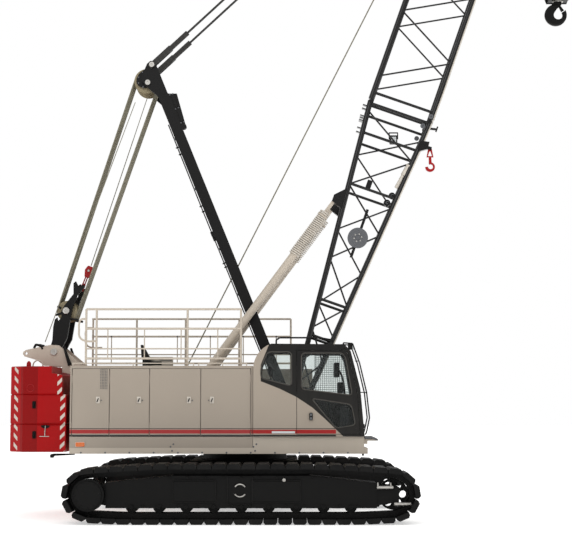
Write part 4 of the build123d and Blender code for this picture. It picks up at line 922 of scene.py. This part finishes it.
def boomTrim():
    places = []
    for s in (-1, 1):
        places += [(onBoom(6142, -557, s * 640), (0, s, 0)), (onBoom(5934, -470, s * 620), (0, s, 0)),
                   (jointAt["boom_luff"] + Vector((0, s * 0.565, 0)), (0, s, 0))]
    finishPiece(copiesAt(pinCap(0.045, 0.024), places), "boomPinCaps", greyEnamel, "boom")
    places = [(onBoom(u, w, -520), (0, -1, 0)) for u, w in ((4543, -368), (4394, -323))]
    finishPiece(copiesAt(pinCap(0.03, 0.05), places), "rollerCaps", greyEnamel, "boom")
    # electric line beside the front chord and the hydraulic line inside it
    foot, gain, length = boomDepth.values()
    line = [onBoom(u, -(foot + gain * min(u, length) / length) - 40, -boomHalf(u) - 34)
            for u in range(900, 9700, 800)]
    # the pipe is grey but takes the pale enamel: a painted highlight, the light line along the front chord
    finishPiece([bentPipe(line, 0.013)], "boomPipeHighlight", paleEnamel, "boom", "grey_enamel")
    cylinder = [roundBar(onBoom(u0, w0, -560), onBoom(u1, w1, -560), r, sides) for u0, w0, u1, w1, r, sides in
                ((5168, -470, 4960, -430, 0.05, 20), (4965, -430, 4700, -385, 0.036, 16),
                 (5175, -471, 5140, -465, 0.06, 20))]
    finishPiece(cylinder, "boomCylinder", paleEnamel, "boom", "grey_enamel")


def workLamp():
    # square floodlight hung from a bar between the chords
    centre = onBoom(5560, -47, -430)
    case = blockPiece(centre + Vector((-0.07, -0.05, -0.09)), centre + Vector((0.07, 0.06, 0.07)), 0.014)
    yoke = [roundBar(centre + Vector((x, 0, 0)), centre + Vector((x, 0, 0.12)), 0.01)
            for x in (-0.078, 0.078)]
    yoke.append(roundBar(centre + Vector((-0.085, 0, 0.12)), centre + Vector((0.085, 0, 0.12)), 0.012))
    finishPiece([case] + yoke, "boomLampCase", blackEnamel, "boom")
    deselectAll()
    bpy.ops.mesh.primitive_cube_add(size=1.0, location=centre + Vector((0.0, -0.052, -0.012)))
    lens = bpy.context.object
    lens.scale = (0.09, 0.012, 0.1)
    applyPlace(lens)
    pickFaces(lens, lambda f: f.normal.y < -0.9)
    bpy.ops.mesh.inset(thickness=0.012)
    bpy.ops.transform.translate(value=(0, 0.004, 0))
    leaveEdit()
    finishPiece([lens], "boomLampLens", clearLens, "boom")


def reelTrim():
    centre = nodeCentre("boom_reel")
    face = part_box("boom_reel")[0].y
    places = [((centre.x + 0.07 * math.cos(a), face + 0.014, centre.z + 0.07 * math.sin(a)), (0, -1, 0))
              for a in (math.radians(60 * k + 10) for k in range(6))]
    finishPiece(copiesAt(hexBolt(0.028, 0.012), places), "reelBolts", pinSteel, "boom")
    deselectAll()
    bpy.ops.mesh.primitive_torus_add(major_segments=40, minor_segments=6, major_radius=0.165,
                                     minor_radius=0.013, location=(centre.x, centre.y, centre.z),
                                     rotation=(math.radians(90), 0, 0))
    bpy.ops.transform.resize(value=(1, 1.4, 1))
    finishPiece([bpy.context.object], "reelCable", sealRubber, "boom", "black_enamel")


boomTrim()
workLamp()
reelTrim()
print("boom trim done")


# ---- counterweight

def weightTrim():
    handles, bars, bolts, dark = [], [], [], []
    for s in (-1, 1):
        face = s * 1484
        for x, z in ((-3627, 1982), (-3618, 1464)):
            # lock handle: a bent bar over a dark keeper
            dark.append(plateFrom(rounded(profile(face, oblong(-30, 34, -62, 66), x, z), 0.015), s * 0.006))
            handles.append(bentPipe([spot(x - 22, face + s * 8, z - 50), spot(x - 8, face + s * 30, z - 40),
                                     spot(x + 18, face + s * 34, z + 45), spot(x + 26, face + s * 8, z + 56)],
                                    0.009))
        ring = bentPipe([spot(-3690 + 62 * math.cos(a), face + s * 2, 2276 + 62 * math.sin(a))
                         for a in (math.radians(45 * k) for k in range(8))], 0.006, closed=True)
        bars.append(ring)
        # round pocket drawn as a black plate, painted shade where the recess lies, with a bright lifting bar
        # across it
        face = s * 1502
        dark.append(plateFrom([spot(-3420 + 78 * math.cos(t), face, 1622 + 46 * math.sin(t)
                                    * (1 if math.sin(t) < 0 else 0.3))
                               for t in (math.radians(18 * k) for k in range(20))], s * 0.005, 0.001))
        bolts.append(bentPipe([spot(-3418, face + s * 8, 1622), spot(-3420, face + s * 22, 1560),
                               spot(-3424, face + s * 20, 1500), spot(-3426, face + s * 8, 1452)], 0.008))
        bolts.append(roundBar(spot(-3520, face + s * 7, 1440), spot(-3350, face + s * 7, 1440), 0.006))
    finishPiece(handles, "weightLocks", lowerBlack, "upperworks")
    finishPiece(dark, "weightKeepersAndPocketShade", lowerBlack, "upperworks")
    finishPiece(bars, "weightRings", redEnamel, "upperworks")
    finishPiece(bolts, "weightBars", pinSteel, "upperworks")
    # lifting lug and the beige guard arc on the top block, and the black bracket under its front
    lugs = []
    for s in (-1, 1):
        lug = [spot(-3775 + a, s * 1190, 2640 + b)
               for a, b in ((-42, 0), (42, 0), (36, 80), (12, 112), (-12, 112), (-36, 80))]
        lugs.append(plateFrom(lug, s * 0.03))
    finishPiece(lugs, "weightLugs", redEnamel, "upperworks")
    arcs = [bentPipe([spot(-3650 - 90 * math.cos(t), s * 1000, 2662 + 110 * math.sin(t))
                      for t in (math.radians(30 * k) for k in range(7))], 0.012) for s in (-1, 1)]
    finishPiece(arcs, "weightArcs", beigeEnamel, "upperworks")
    feet = []
    for s in (-1, 1):
        shape = profile(s * 1300, ((-3350, 1068), (-3300, 1068), (-3280, 1100), (-2930, 1118), (-2930, 1140),
                                   (-3300, 1140), (-3350, 1128)))
        feet.append(plateFrom(shape, s * 0.05))
        feet.append(roundBar(spot(-3322, s * 1280, 1100), spot(-3322, s * 1370, 1100), 0.034, 16))
    finishPiece(feet, "weightFeet", blackEnamel, "upperworks")


def frameRear():
    # small fittings on the horn and the black leg in front of the bail
    parts = []
    for s in (-1, 1):
        for x0, z0, x1, z1 in ((-3830, 3010, -3790, 3085), (-3800, 3075, -3640, 3050),
                               (-3700, 3050, -3670, 2990)):
            parts.append(roundBar(spot(x0, s * 400, z0), spot(x1, s * 400, z1), 0.022))
        parts.append(roundBar(spot(-3720, s * 400, 3060), spot(-3720, s * 300, 3060), 0.03, 16))
        parts.append(plateFrom(profile(s * 430, ((-3300, 3040), (-3262, 3050), (-3130, 2700), (-3200, 2690))),
                               s * 0.02))
    finishPiece(parts, "hornFittings", blackEnamel, "upperworks")


weightTrim()
frameRear()
print("counterweight done")


# ---- houses

latches = {                            # centres of the door latches along the machine
    "places": (-2514, -1802, -934, -535),
    "height": 2068,
}


def houseTrim():
    plates, levers, keys = [], [], []
    for s in (-1, 1):
        face = s * 1508
        for x in latches["places"]:
            z = latches["height"]
            rim = rounded(profile(face, oblong(-34, 34, -56, 58), x, z), 0.012)
            plates.append(plateFrom(rim, s * 0.005))
            levers.append(bentPipe([spot(x - 16, face + s * 8, z - 34), spot(x - 6, face + s * 22, z - 10),
                                    spot(x + 12, face + s * 22, z + 30)], 0.009))
            keys.append((spot(x + (58 if x != -535 else -58), face, z - 6), (0, s, 0)))
    finishPiece(plates, "latchPlates", paleEnamel, "upperworks")
    finishPiece(levers, "latchLevers", consolePlastic, "upperworks")
    finishPiece(copiesAt(pinCap(0.011, 0.008), keys), "latchKeys", greyEnamel, "upperworks")


def airGrille():
    # field of small punched holes high on the rear door, drawn as small grey cups
    deselectAll()
    bpy.ops.mesh.primitive_circle_add(vertices=6, radius=0.0085, fill_type="NGON")
    hole = bpy.context.object
    pickFaces(hole, lambda f: True)
    bpy.ops.mesh.extrude_region_move(TRANSFORM_OT_translate={"value": (0, 0, 0.002)})
    bpy.ops.mesh.inset(thickness=0.002)
    leaveEdit()
    places = [(spot(-2470 + 27 * i, s * 1508, 2268 + 27 * k), (0, s, 0)) for s in (-1, 1) for i in range(5)
              for k in range(13)]
    finishPiece(copiesAt(hole, places), "airHoles", greyEnamel, "upperworks")


def sideLamps():
    # amber marker lamps low on the houses, and the pale reflector let into the red line on the cab
    lenses, rims = [], []
    for s in (-1, 1):
        face = s * 1501
        shape = rounded(profile(face, oblong(-2893, -2733, 1262, 1338)), 0.02)
        lenses.append(plateFrom(shape, s * 0.02, 0.006))
        rims.append(bentPipe([p + Vector((0, s * 0.003, 0)) for p in shape], 0.006, closed=True,
                             smooth=False))
    finishPiece(lenses, "markerLenses", amberLens, "upperworks")
    finishPiece(rims, "markerRims", paleEnamel, "upperworks")
    points = rounded(profile(-1551, oblong(505, 905, 1493, 1530)), 0.006)
    finishPiece([plateFrom(points, -0.006, 0.002)], "cabReflector", clearLens, "upperworks")


def deckTrim():
    # bolts along the deck's edge and the drains under its nose
    rings, bolts = [], []
    for s in (-1, 1):
        face = s * 1501
        for x in (-1223, 213):
            bolts += [(spot(x - 26, face, 1262), (0, s, 0)), (spot(x + 24, face, 1306), (0, s, 0)),
                      (spot(x + 2, face, 1192), (0, s, 0))]
        for x in range(-2800, 2100, 420):
            bolts.append((spot(x, face, 1160), (0, s, 0)))
        rings.append(roundBar(spot(2085, s * 1420, 1142), spot(2085, s * 1420, 1105), 0.018, 12))
    finishPiece(copiesAt(hexBolt(0.026, 0.01), bolts), "deckBolts", greyEnamel, "upperworks")
    finishPiece(rings, "deckDrains", lowerBlack, "upperworks")


def railTrim():
    # rounded ends and toe rails of the walkway, clamps at the posts
    radius = 0.017
    loops, clamps = [], []
    for s, rear, front in ((-1, -2742, -36), (1, -3020, 844)):
        y = s * 1440
        loops.append(bentPipe([spot(rear, y, 3480), spot(rear - 90, y, 3470), spot(rear - 125, y, 3400),
                               spot(rear - 125, y, 3300), spot(rear - 110, y, 3160), spot(rear - 20, y, 3100),
                               spot(rear + 200, y, 3095)], radius))
        loops.append(roundBar(spot(rear, y, 2960), spot(front, y, 2960), 0.012))
        for x in range(rear + 380, front - 200, 640):
            loops.append(roundBar(spot(x, y, 2790), spot(x, y, 3310), 0.01))
            clamps.append((spot(x, y - s * 12, 3310), (0, -s, 0)))
    finishPiece(loops, "railLoops", beigeEnamel, "upperworks")
    finishPiece(copiesAt(pinCap(0.016, 0.012), clamps), "railClamps", greyEnamel, "upperworks")


def exhaustTrim():
    # sheet-metal seams and slots on the silencer box, and its bright flank
    slots = []
    for z in (2755, 2800):
        slots.append(plateFrom(rounded([spot(x, 968, z + b) for x, b in oblong(-1930, -1620, -12, 12)], 0.01),
                               -0.004, 0.001))
    points = profile(970, ((-1640, 2830), (-1430, 2830), (-1430, 2890), (-1800, 2890)))
    finishPiece(slots, "exhaustSlots", lowerBlack, "upperworks")
    finishPiece([plateFrom(points, -0.004, 0.001)], "exhaustFlank", greyEnamel, "upperworks")


houseTrim()
airGrille()
sideLamps()
deckTrim()
railTrim()
exhaustTrim()
print("houses done")


# ---- cab

cabWindows = {                         # x and z of the corners, millimetres
    "upper": ((1018, 2255), (1018, 2880), (1740, 2880), (1790, 2780), (1900, 2150)),
    "lower": ((1375, 1868), (1190, 2097), (1880, 1990), (1955, 1640), (1618, 1580)),
    "rear": ((313, 2448), (313, 2621), (428, 2900), (846, 2900), (846, 2310)),
}


def windowSeals():
    # rubber gaskets with rounded corners round each pane
    for name, body, y in (("upper", "cab_door", -1551), ("lower", "cab_door", -1551),
                          ("rear", "upperworks", -1551), ("upper", "upperworks", -699),
                          ("rear", "upperworks", -699)):
        points = rounded(profile(y, cabWindows[name]), 0.07)
        # the seals take the lighter gasket rubber, a painted highlight
        seal = bentPipe(points, 0.011, closed=True, smooth=False)
        finishPiece([seal], name + ("Door" if body == "cab_door" else "Side")
                    + ("Seal" if y < -1000 else "FarSeal"), gasketHighlightRubber, body)


def cornerFillets():
    # dark frit that rounds the glass corners
    for name, body in (("upper", "cab_door"), ("lower", "cab_door"), ("rear", "upperworks")):
        corners = profile(-1526, cabWindows[name])
        parts = []
        for i, point in enumerate(corners):
            a = point + (corners[i - 1] - point).normalized() * 0.075
            b = point + (corners[(i + 1) % len(corners)] - point).normalized() * 0.075
            arc = [a * (1 - t) ** 2 + point * 2 * t * (1 - t) + b * t ** 2 for t in (0.2, 0.4, 0.6, 0.8)]
            parts.append(plateFrom([point, a] + arc + [b], -0.012, 0))
        finishPiece(parts, name + "Corners", sealRubber, body)


def meshGuard():
    # welded wire guard inside the far window
    wires = []
    y = -738
    low, high = 2190, 2868
    for x in range(1290, 1800, 38):
        top = min(high, high - max(0, x - 1720) * 1.2)
        wires.append(straightRope(spot(x, y, low + 20), spot(x, y, top), 0.0035, 1))
    for z in range(low + 30, high, 38):
        end = 1800 + (2868 - z) * 0.1
        wires.append(straightRope(spot(1270, y - 6, z), spot(min(end, 1870), y - 6, z), 0.0035, 1))
    wires.append(bentPipe(profile(y, ((1270, low), (1270, high), (1735, high), (1800, 2720),
                                      (1878, low + 10))), 0.009, closed=True, smooth=False))
    finishPiece(wires, "meshGuard", greyEnamel, "upperworks")


def screens():
    # two display housings on a bent stalk in the right front corner
    parts, faces = [], []
    for x0, x1, z0, z1 in ((1600, 1700, 2470, 2730), (1660, 1770, 2200, 2385)):
        parts.append(blockPiece(spot(x0, -1060, z0), spot(x1, -820, z1), 0.014))
        faces.append(plateFrom(rounded(profile(-1061, oblong(x0 + 12, x1 - 12, z0 + 14, z1 - 14)), 0.01),
                               -0.003, 0.001))
    parts.append(bentPipe([spot(1780, -930, 1900), spot(1790, -930, 2200), spot(1740, -930, 2500),
                           spot(1690, -930, 2600)], 0.018))
    parts.append(blockPiece(spot(1620, -1180, 1800), spot(1850, -760, 1960), 0.03))
    finishPiece(parts, "cabScreens", consolePlastic, "upperworks")
    finishPiece(faces, "screenBacks", sealRubber, "upperworks")


def levers():
    # joysticks with gaiters on both consoles, travel levers at the front, armrests
    parts, pads = [], []
    for y in (-1430, -820):
        x, z = 1060, 2045
        parts.append(bentPipe([spot(x, y, z - 10), spot(x + 10, y, z + 90), spot(x + 35, y, z + 170)], 0.014))
        parts.append(roundBar(spot(x + 30, y, z + 150), spot(x + 50, y, z + 240), 0.028, 16))
        parts.append(roundBar(spot(x, y, z - 6), spot(x, y, z + 40), 0.045, 16))
        pads.append(blockPiece(spot(690, y - 45, 2050), spot(960, y + 45, 2105), 0.022))
    for y in (-1170, -1080):
        parts.append(bentPipe([spot(1560, y, 1500), spot(1540, y, 1800), spot(1500, y, 2060)], 0.013))
        parts.append(roundBar(spot(1500, y, 2040), spot(1488, y, 2150), 0.02, 12))
        parts.append(blockPiece(spot(1460, y - 40, 1500), spot(1640, y + 40, 1530), 0.008))
    finishPiece(parts, "cabLevers", consolePlastic, "upperworks")
    finishPiece(pads, "armrests", seatCloth, "upperworks")


def doorHandle():
    # oval grip plate with two slots, set into the door
    outer = rounded(profile(-1572, oblong(1150, 1214, 1716, 1850)), 0.03)
    plate = plateFrom(outer, -0.012, 0.004)
    slots = [plateFrom(rounded(profile(-1584, oblong(1164, 1200, z0, z0 + 44)), 0.012), -0.003, 0.001)
             for z0 in (1728, 1794)]
    finishPiece([plate], "doorHandle", sealRubber, "cab_door")
    finishPiece(slots, "doorHandleSlots", greyEnamel, "cab_door")


def cabOutside():
    # stand-offs of the guard bar, the wiper, and the lamp under the deck's nose
    parts = [roundBar(spot(1951, -1490, 2744), spot(2020, -1490, 2744), 0.008),
             roundBar(spot(2030, -1490, 2200), spot(2145, -1490, 2200), 0.008)]
    parts.append(bentPipe([spot(2092, -1200, 1620), spot(2082, -1160, 1900), spot(2052, -1120, 2260)], 0.009))
    parts.append(blockPiece(spot(2040, -1250, 2240), spot(2056, -990, 2262), 0.004))
    parts.append(blockPiece(spot(2104, -1240, 1575), spot(2128, -1160, 1650), 0.008))
    finishPiece(parts, "cabBrackets", blackEnamel, "upperworks")
    tread = profile(-1490, ((2114, 1442), (2235, 1446), (2318, 1412), (2346, 1378), (2330, 1366),
                            (2290, 1388), (2220, 1402), (2114, 1396)))
    finishPiece([plateFrom(tread, 0.26, 0.004)], "frontTread", greyEnamel, "upperworks")
    lens = [plateFrom(rounded(profile(-1422, oblong(1910, 1938, 2950, 3030)), 0.01), 0.11, 0.004)]
    finishPiece(lens, "roofLampLens", clearLens, "upperworks")
    seam = [bentPipe([spot(934, -1551, z) for z in (1484, 1800, 2200)], 0.003, smooth=False)]
    finishPiece(seam, "doorSeal", sealRubber, "upperworks")


windowSeals()
cornerFillets()
meshGuard()
screens()
levers()
doorHandle()
cabOutside()
print("cab done")


# ---- operator's seat

seatForm = {                           # low and high corners of each pad, in millimetres
    "cushion": ((530, -1355, 1812), (1022, -895, 1918)),
    "back": ((428, -1345, 1880), (512, -905, 2475)),
    "rest": ((434, -1248, 2500), (502, -1002, 2672)),
}


def seatPad(low, high):
    # box with its edges softened and its faces split, crowned towards the middle
    deselectAll()
    low, high = spot(*low), spot(*high)
    bpy.ops.mesh.primitive_cube_add(size=1.0, location=(low + high) / 2)
    pad = bpy.context.object
    pad.scale = high - low
    applyPlace(pad)
    bpy.ops.object.mode_set(mode="EDIT")
    bpy.ops.mesh.select_all(action="SELECT")
    bpy.ops.mesh.subdivide(number_cuts=7)
    leaveEdit()
    centre, size = (low + high) / 2, high - low
    for vertex in pad.data.vertices:
        part = [(vertex.co[i] - centre[i]) / (size[i] / 2) for i in range(3)]
        for i in range(3):
            j, k = [n for n in range(3) if n != i]
            pull = 0.12 * (1 - part[j] ** 2) * (1 - part[k] ** 2)
            vertex.co[i] = centre[i] + part[i] * (0.86 + pull) * size[i] / 2
    modify(pad, "SUBSURF", levels=1, render_levels=1)
    return pad


clothSizes = {
    "voxel": 0.012,
    "pressure": 3.0,
    "frames": 20,
    "reach": 0.022,                    # farthest that the cover moves, in metres
}


def clothPad(pad):
    # air inside the cover pushes it out against its seams
    modify(pad, "REMESH", mode="VOXEL", voxel_size=clothSizes["voxel"])
    before = [v.co.copy() for v in pad.data.vertices]
    cloth = pad.modifiers.new("cloth", "CLOTH")
    cloth.settings.use_pressure = True
    cloth.settings.uniform_pressure_force = clothSizes["pressure"]
    cloth.settings.effector_weights.gravity = 0.0
    scene = bpy.context.scene
    for step in range(1, clothSizes["frames"] + 1):
        scene.frame_set(step)
    choose(pad)
    bpy.ops.object.modifier_apply(modifier="cloth")
    scene.frame_set(1)
    for vertex, start in zip(pad.data.vertices, before):
        move = vertex.co - start
        if move.length > clothSizes["reach"]:
            vertex.co = start + move.normalized() * clothSizes["reach"]
    return pad


def seamRing(low, high, axis, share):
    # sewn welt round a pad, square to one axis
    low, high = spot(*low), spot(*high)
    at = low[axis] + (high[axis] - low[axis]) * share
    j, k = [n for n in range(3) if n != axis]
    corners = []
    for a, b in oblong(0.03, 0.97, 0.03, 0.97):
        point = Vector((0, 0, 0))
        point[axis], point[j], point[k] = at, low[j] + (high[j] - low[j]) * a, low[k] + (high[k] - low[k]) * b
        corners.append(point)
    return bentPipe(rounded(corners, 0.04), 0.004, closed=True, smooth=False, sides=1)


def operatorSeat():
    pads = []
    for low, high in seatForm.values():
        pad = seatPad(low, high)
        pad = clothPad(pad)
        pads.append(pad)
    seat = finishPiece(pads, "seatPads", seatCloth, "upperworks")
    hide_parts("operator_seat")
    welts = [seamRing(*seatForm["cushion"], 2, 0.62), seamRing(*seatForm["back"], 0, 0.62),
             seamRing(*seatForm["rest"], 0, 0.62)]
    finishPiece(welts, "seatWelts", sealRubber, "upperworks")


operatorSeat()
print("seat done")


# ---- undercarriage

def undercarriageTrim():
    bolts, caps, bright = [], [], []
    for s in (-1, 1):
        face = s * 2280
        for x in range(-1800, 1900, 300):
            bolts.append((spot(x, face, 770), (0, s, 0)))
            bolts.append((spot(x + 150, face, 300), (0, s, 0)))
        for k in range(12):
            t = math.radians(30 * k)
            bolts.append((spot(-2555 + 215 * math.cos(t), s * 2404, 482 + 215 * math.sin(t)), (0, s, 0)))
        for k in range(9):
            caps.append((spot(-1840 + 460 * k, face, 281), (0, s, 0)))
        bright.append((spot(717, s * 2282, 731), (0, s, 0)))
    finishPiece(copiesAt(hexBolt(0.034, 0.014), bolts), "frameBolts", lowerBlack, "undercarriage")
    finishPiece(copiesAt(pinCap(0.036, 0.018), caps), "rollerPins", lowerBlack, "undercarriage")
    finishPiece(copiesAt(pinCap(0.03, 0.02), bright), "greasePoint", pinSteel, "undercarriage")


def adjusterCylinders():
    # chromed rods that push the idlers out, with their bright clamps
    parts = []
    for s in (-1, 1):
        y = s * 2300
        parts += [roundBar(spot(2268, y, 612), spot(2546, y, 612), 0.03, 16),
                  roundBar(spot(2556, y, 334), spot(2842, y, 334), 0.03, 16)]
        for x, z in ((2275, 650), (2490, 650)):
            parts.append(blockPiece(spot(x, min(y, y + s * 20), z - 30),
                                    spot(x + 22, max(y, y + s * 20), z + 40), 0.004))
    finishPiece(parts, "trackAdjusters", pinSteel, "undercarriage")


def frameHubs():
    # bright steel arcs round the lower roller shaft's inspection hole, painted light where the white behind
    # shows through the holes, and plates' weld beads
    arcs, beads = [], []
    for s in (-1, 1):
        y = s * 2284
        # painted light: bright arcs standing for the white seen through the holes
        for start in (35, 215):
            arcs.append(bentPipe([spot(-20 + 104 * math.cos(t), y, 556 + 104 * math.sin(t))
                                  for t in (math.radians(start + 18 * k) for k in range(7))], 0.011))
        for x0, x1, z0, z1 in ((-1140, -430, 360, 730), (180, 1000, 360, 730), (-230, 190, 330, 790)):
            points = rounded(profile(s * 2281, oblong(x0, x1, z0, z1)), 0.02)
            beads.append(bentPipe(points, 0.007, closed=True, smooth=False, sides=1))
    finishPiece(arcs, "frameHoleLightArcs", pinSteel, "undercarriage")
    finishPiece(beads, "frameBeads", blackEnamel, "undercarriage")


undercarriageTrim()
adjusterCylinders()
frameHubs()
print("undercarriage done")


# ---- hook block and hook

def hookTrim():
    low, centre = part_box("hook_block")[0], nodeCentre("hook_block")
    bolts, caps = [], []
    for s in (-1, 1):
        y = s * 0.16
        for x, z in ((-0.15, 0.06), (0.15, 0.06), (-0.2, 0.3), (0.2, 0.3), (-0.13, 0.56), (0.13, 0.56)):
            bolts.append(((centre.x + x, y, low.z + z), (0, s, 0)))
        caps.append(((centre.x, y, low.z + 0.34), (0, s, 0)))
    finishPiece(copiesAt(hexBolt(0.036, 0.016), bolts), "hookBlockBolts", greyEnamel, "hook_block")
    finishPiece(copiesAt(pinCap(0.065, 0.02), caps), "hookBlockPins", pinSteel, "hook_block")
    collar = [roundBar((centre.x, 0, low.z - 0.005), (centre.x, 0, low.z + 0.012), 0.1, 24)]
    finishPiece(collar, "hookNut", pinSteel, "hook_block")


def headTrim():
    head = nodeCentre("head_sheaves")
    caps = [((head.x, s * 0.332, head.z), (0, s, 0)) for s in (-1, 1)]
    finishPiece(copiesAt(pinCap(0.09, 0.03), caps), "headShaftCaps", pinSteel, "boom")


hookTrim()
headTrim()
print("hook trim done")


# ---- floor, light, camera

studio = {
    "floor": "f6f5f3",
    "floorGlow": 0.45,                 # lit from below, as a light table
    "backdrop": 1.0,                   # white behind the machine and through its glass
    "ambient": 0.32,                   # light from the level, and from overhead
    "overhead": 1.1,
    "key": 800.0,
    "fill": 250.0,
}


def paleFloor():
    deselectAll()
    bpy.ops.mesh.primitive_plane_add(size=160.0, location=(0, 40, -0.002))
    floor = bpy.context.object
    floor.name = "floor"
    material, tree, bsdf, coords = newMaterial("floorPaper", Roughness=0.9, Specular_IOR_Level=0.1)
    mottle = addNode(tree, "TexNoise", {"Vector": coords, "Scale": 0.4})
    tint = addNode(tree, "Mix", {"Factor": mottle, "A": linear(studio["floor"]), "B": linear("fafaf9")},
                   "Result", data_type="RGBA")
    bsdf.inputs["Emission Color"].default_value = (1, 1, 1, 1)
    bsdf.inputs["Emission Strength"].default_value = studio["floorGlow"]
    connect(tree, bsdf, Base_Color=tint)
    floor.data.materials.append(material)


def softLights():
    world = bpy.data.worlds.new("sky")
    bpy.context.scene.world = world
    world.use_nodes = True
    tree = world.node_tree
    background = tree.nodes["Background"]
    background.inputs["Color"].default_value = (1, 1, 1, 1)
    seen = addNode(tree, "LightPath", {}, "Is Camera Ray")
    through = addNode(tree, "LightPath", {}, "Is Transmission Ray")
    white = addNode(tree, "Math", {0: seen, 1: through}, operation="MAXIMUM")
    way = addNode(tree, "TexCoord", {}, "Generated")
    up = addNode(tree, "SeparateXYZ", {"Vector": way}, "Z")
    glow = addNode(tree, "MapRange", {"Value": up, "From Min": 0.05, "From Max": 0.9,
                                      "To Min": studio["ambient"], "To Max": studio["overhead"]})
    strength = addNode(tree, "MapRange", {"Value": white, "To Min": glow, "To Max": studio["backdrop"]})
    tree.links.new(strength, background.inputs["Strength"])
    for name, place, size, power in (("key", (-6, -22, 14), 12.0, studio["key"]),
                                     ("fill", (16, -16, 9), 12.0, studio["fill"]),
                                     ("rear", (4, 24, 22), 14.0, studio["fill"])):
        deselectAll()
        bpy.ops.object.light_add(type="AREA", location=place)
        light = bpy.context.object
        light.name = name
        light.data.size, light.data.energy = size, power
        light.rotation_euler = (Vector((0, 0, 4)) - Vector(place)).to_track_quat("-Z", "Y").to_euler()


view = {
    "place": (750, -27000, 1947),
    "pitch": 5.447,                    # degrees above level
    "lens": 92.08,
    "sensor": 36.0,
    "far": 400.0,
}


def addCamera():
    deselectAll()
    bpy.ops.object.camera_add(location=spot(*view["place"]),
                              rotation=(math.radians(90 + view["pitch"]), 0, 0))
    camera = bpy.context.object
    camera.name = "camera"
    camera.data.lens, camera.data.sensor_width = view["lens"], view["sensor"]
    camera.data.clip_end = view["far"]
    bpy.context.scene.camera = camera


paleFloor()
softLights()
addCamera()
bpy.context.scene.view_settings.view_transform = "Standard"
print("studio done")
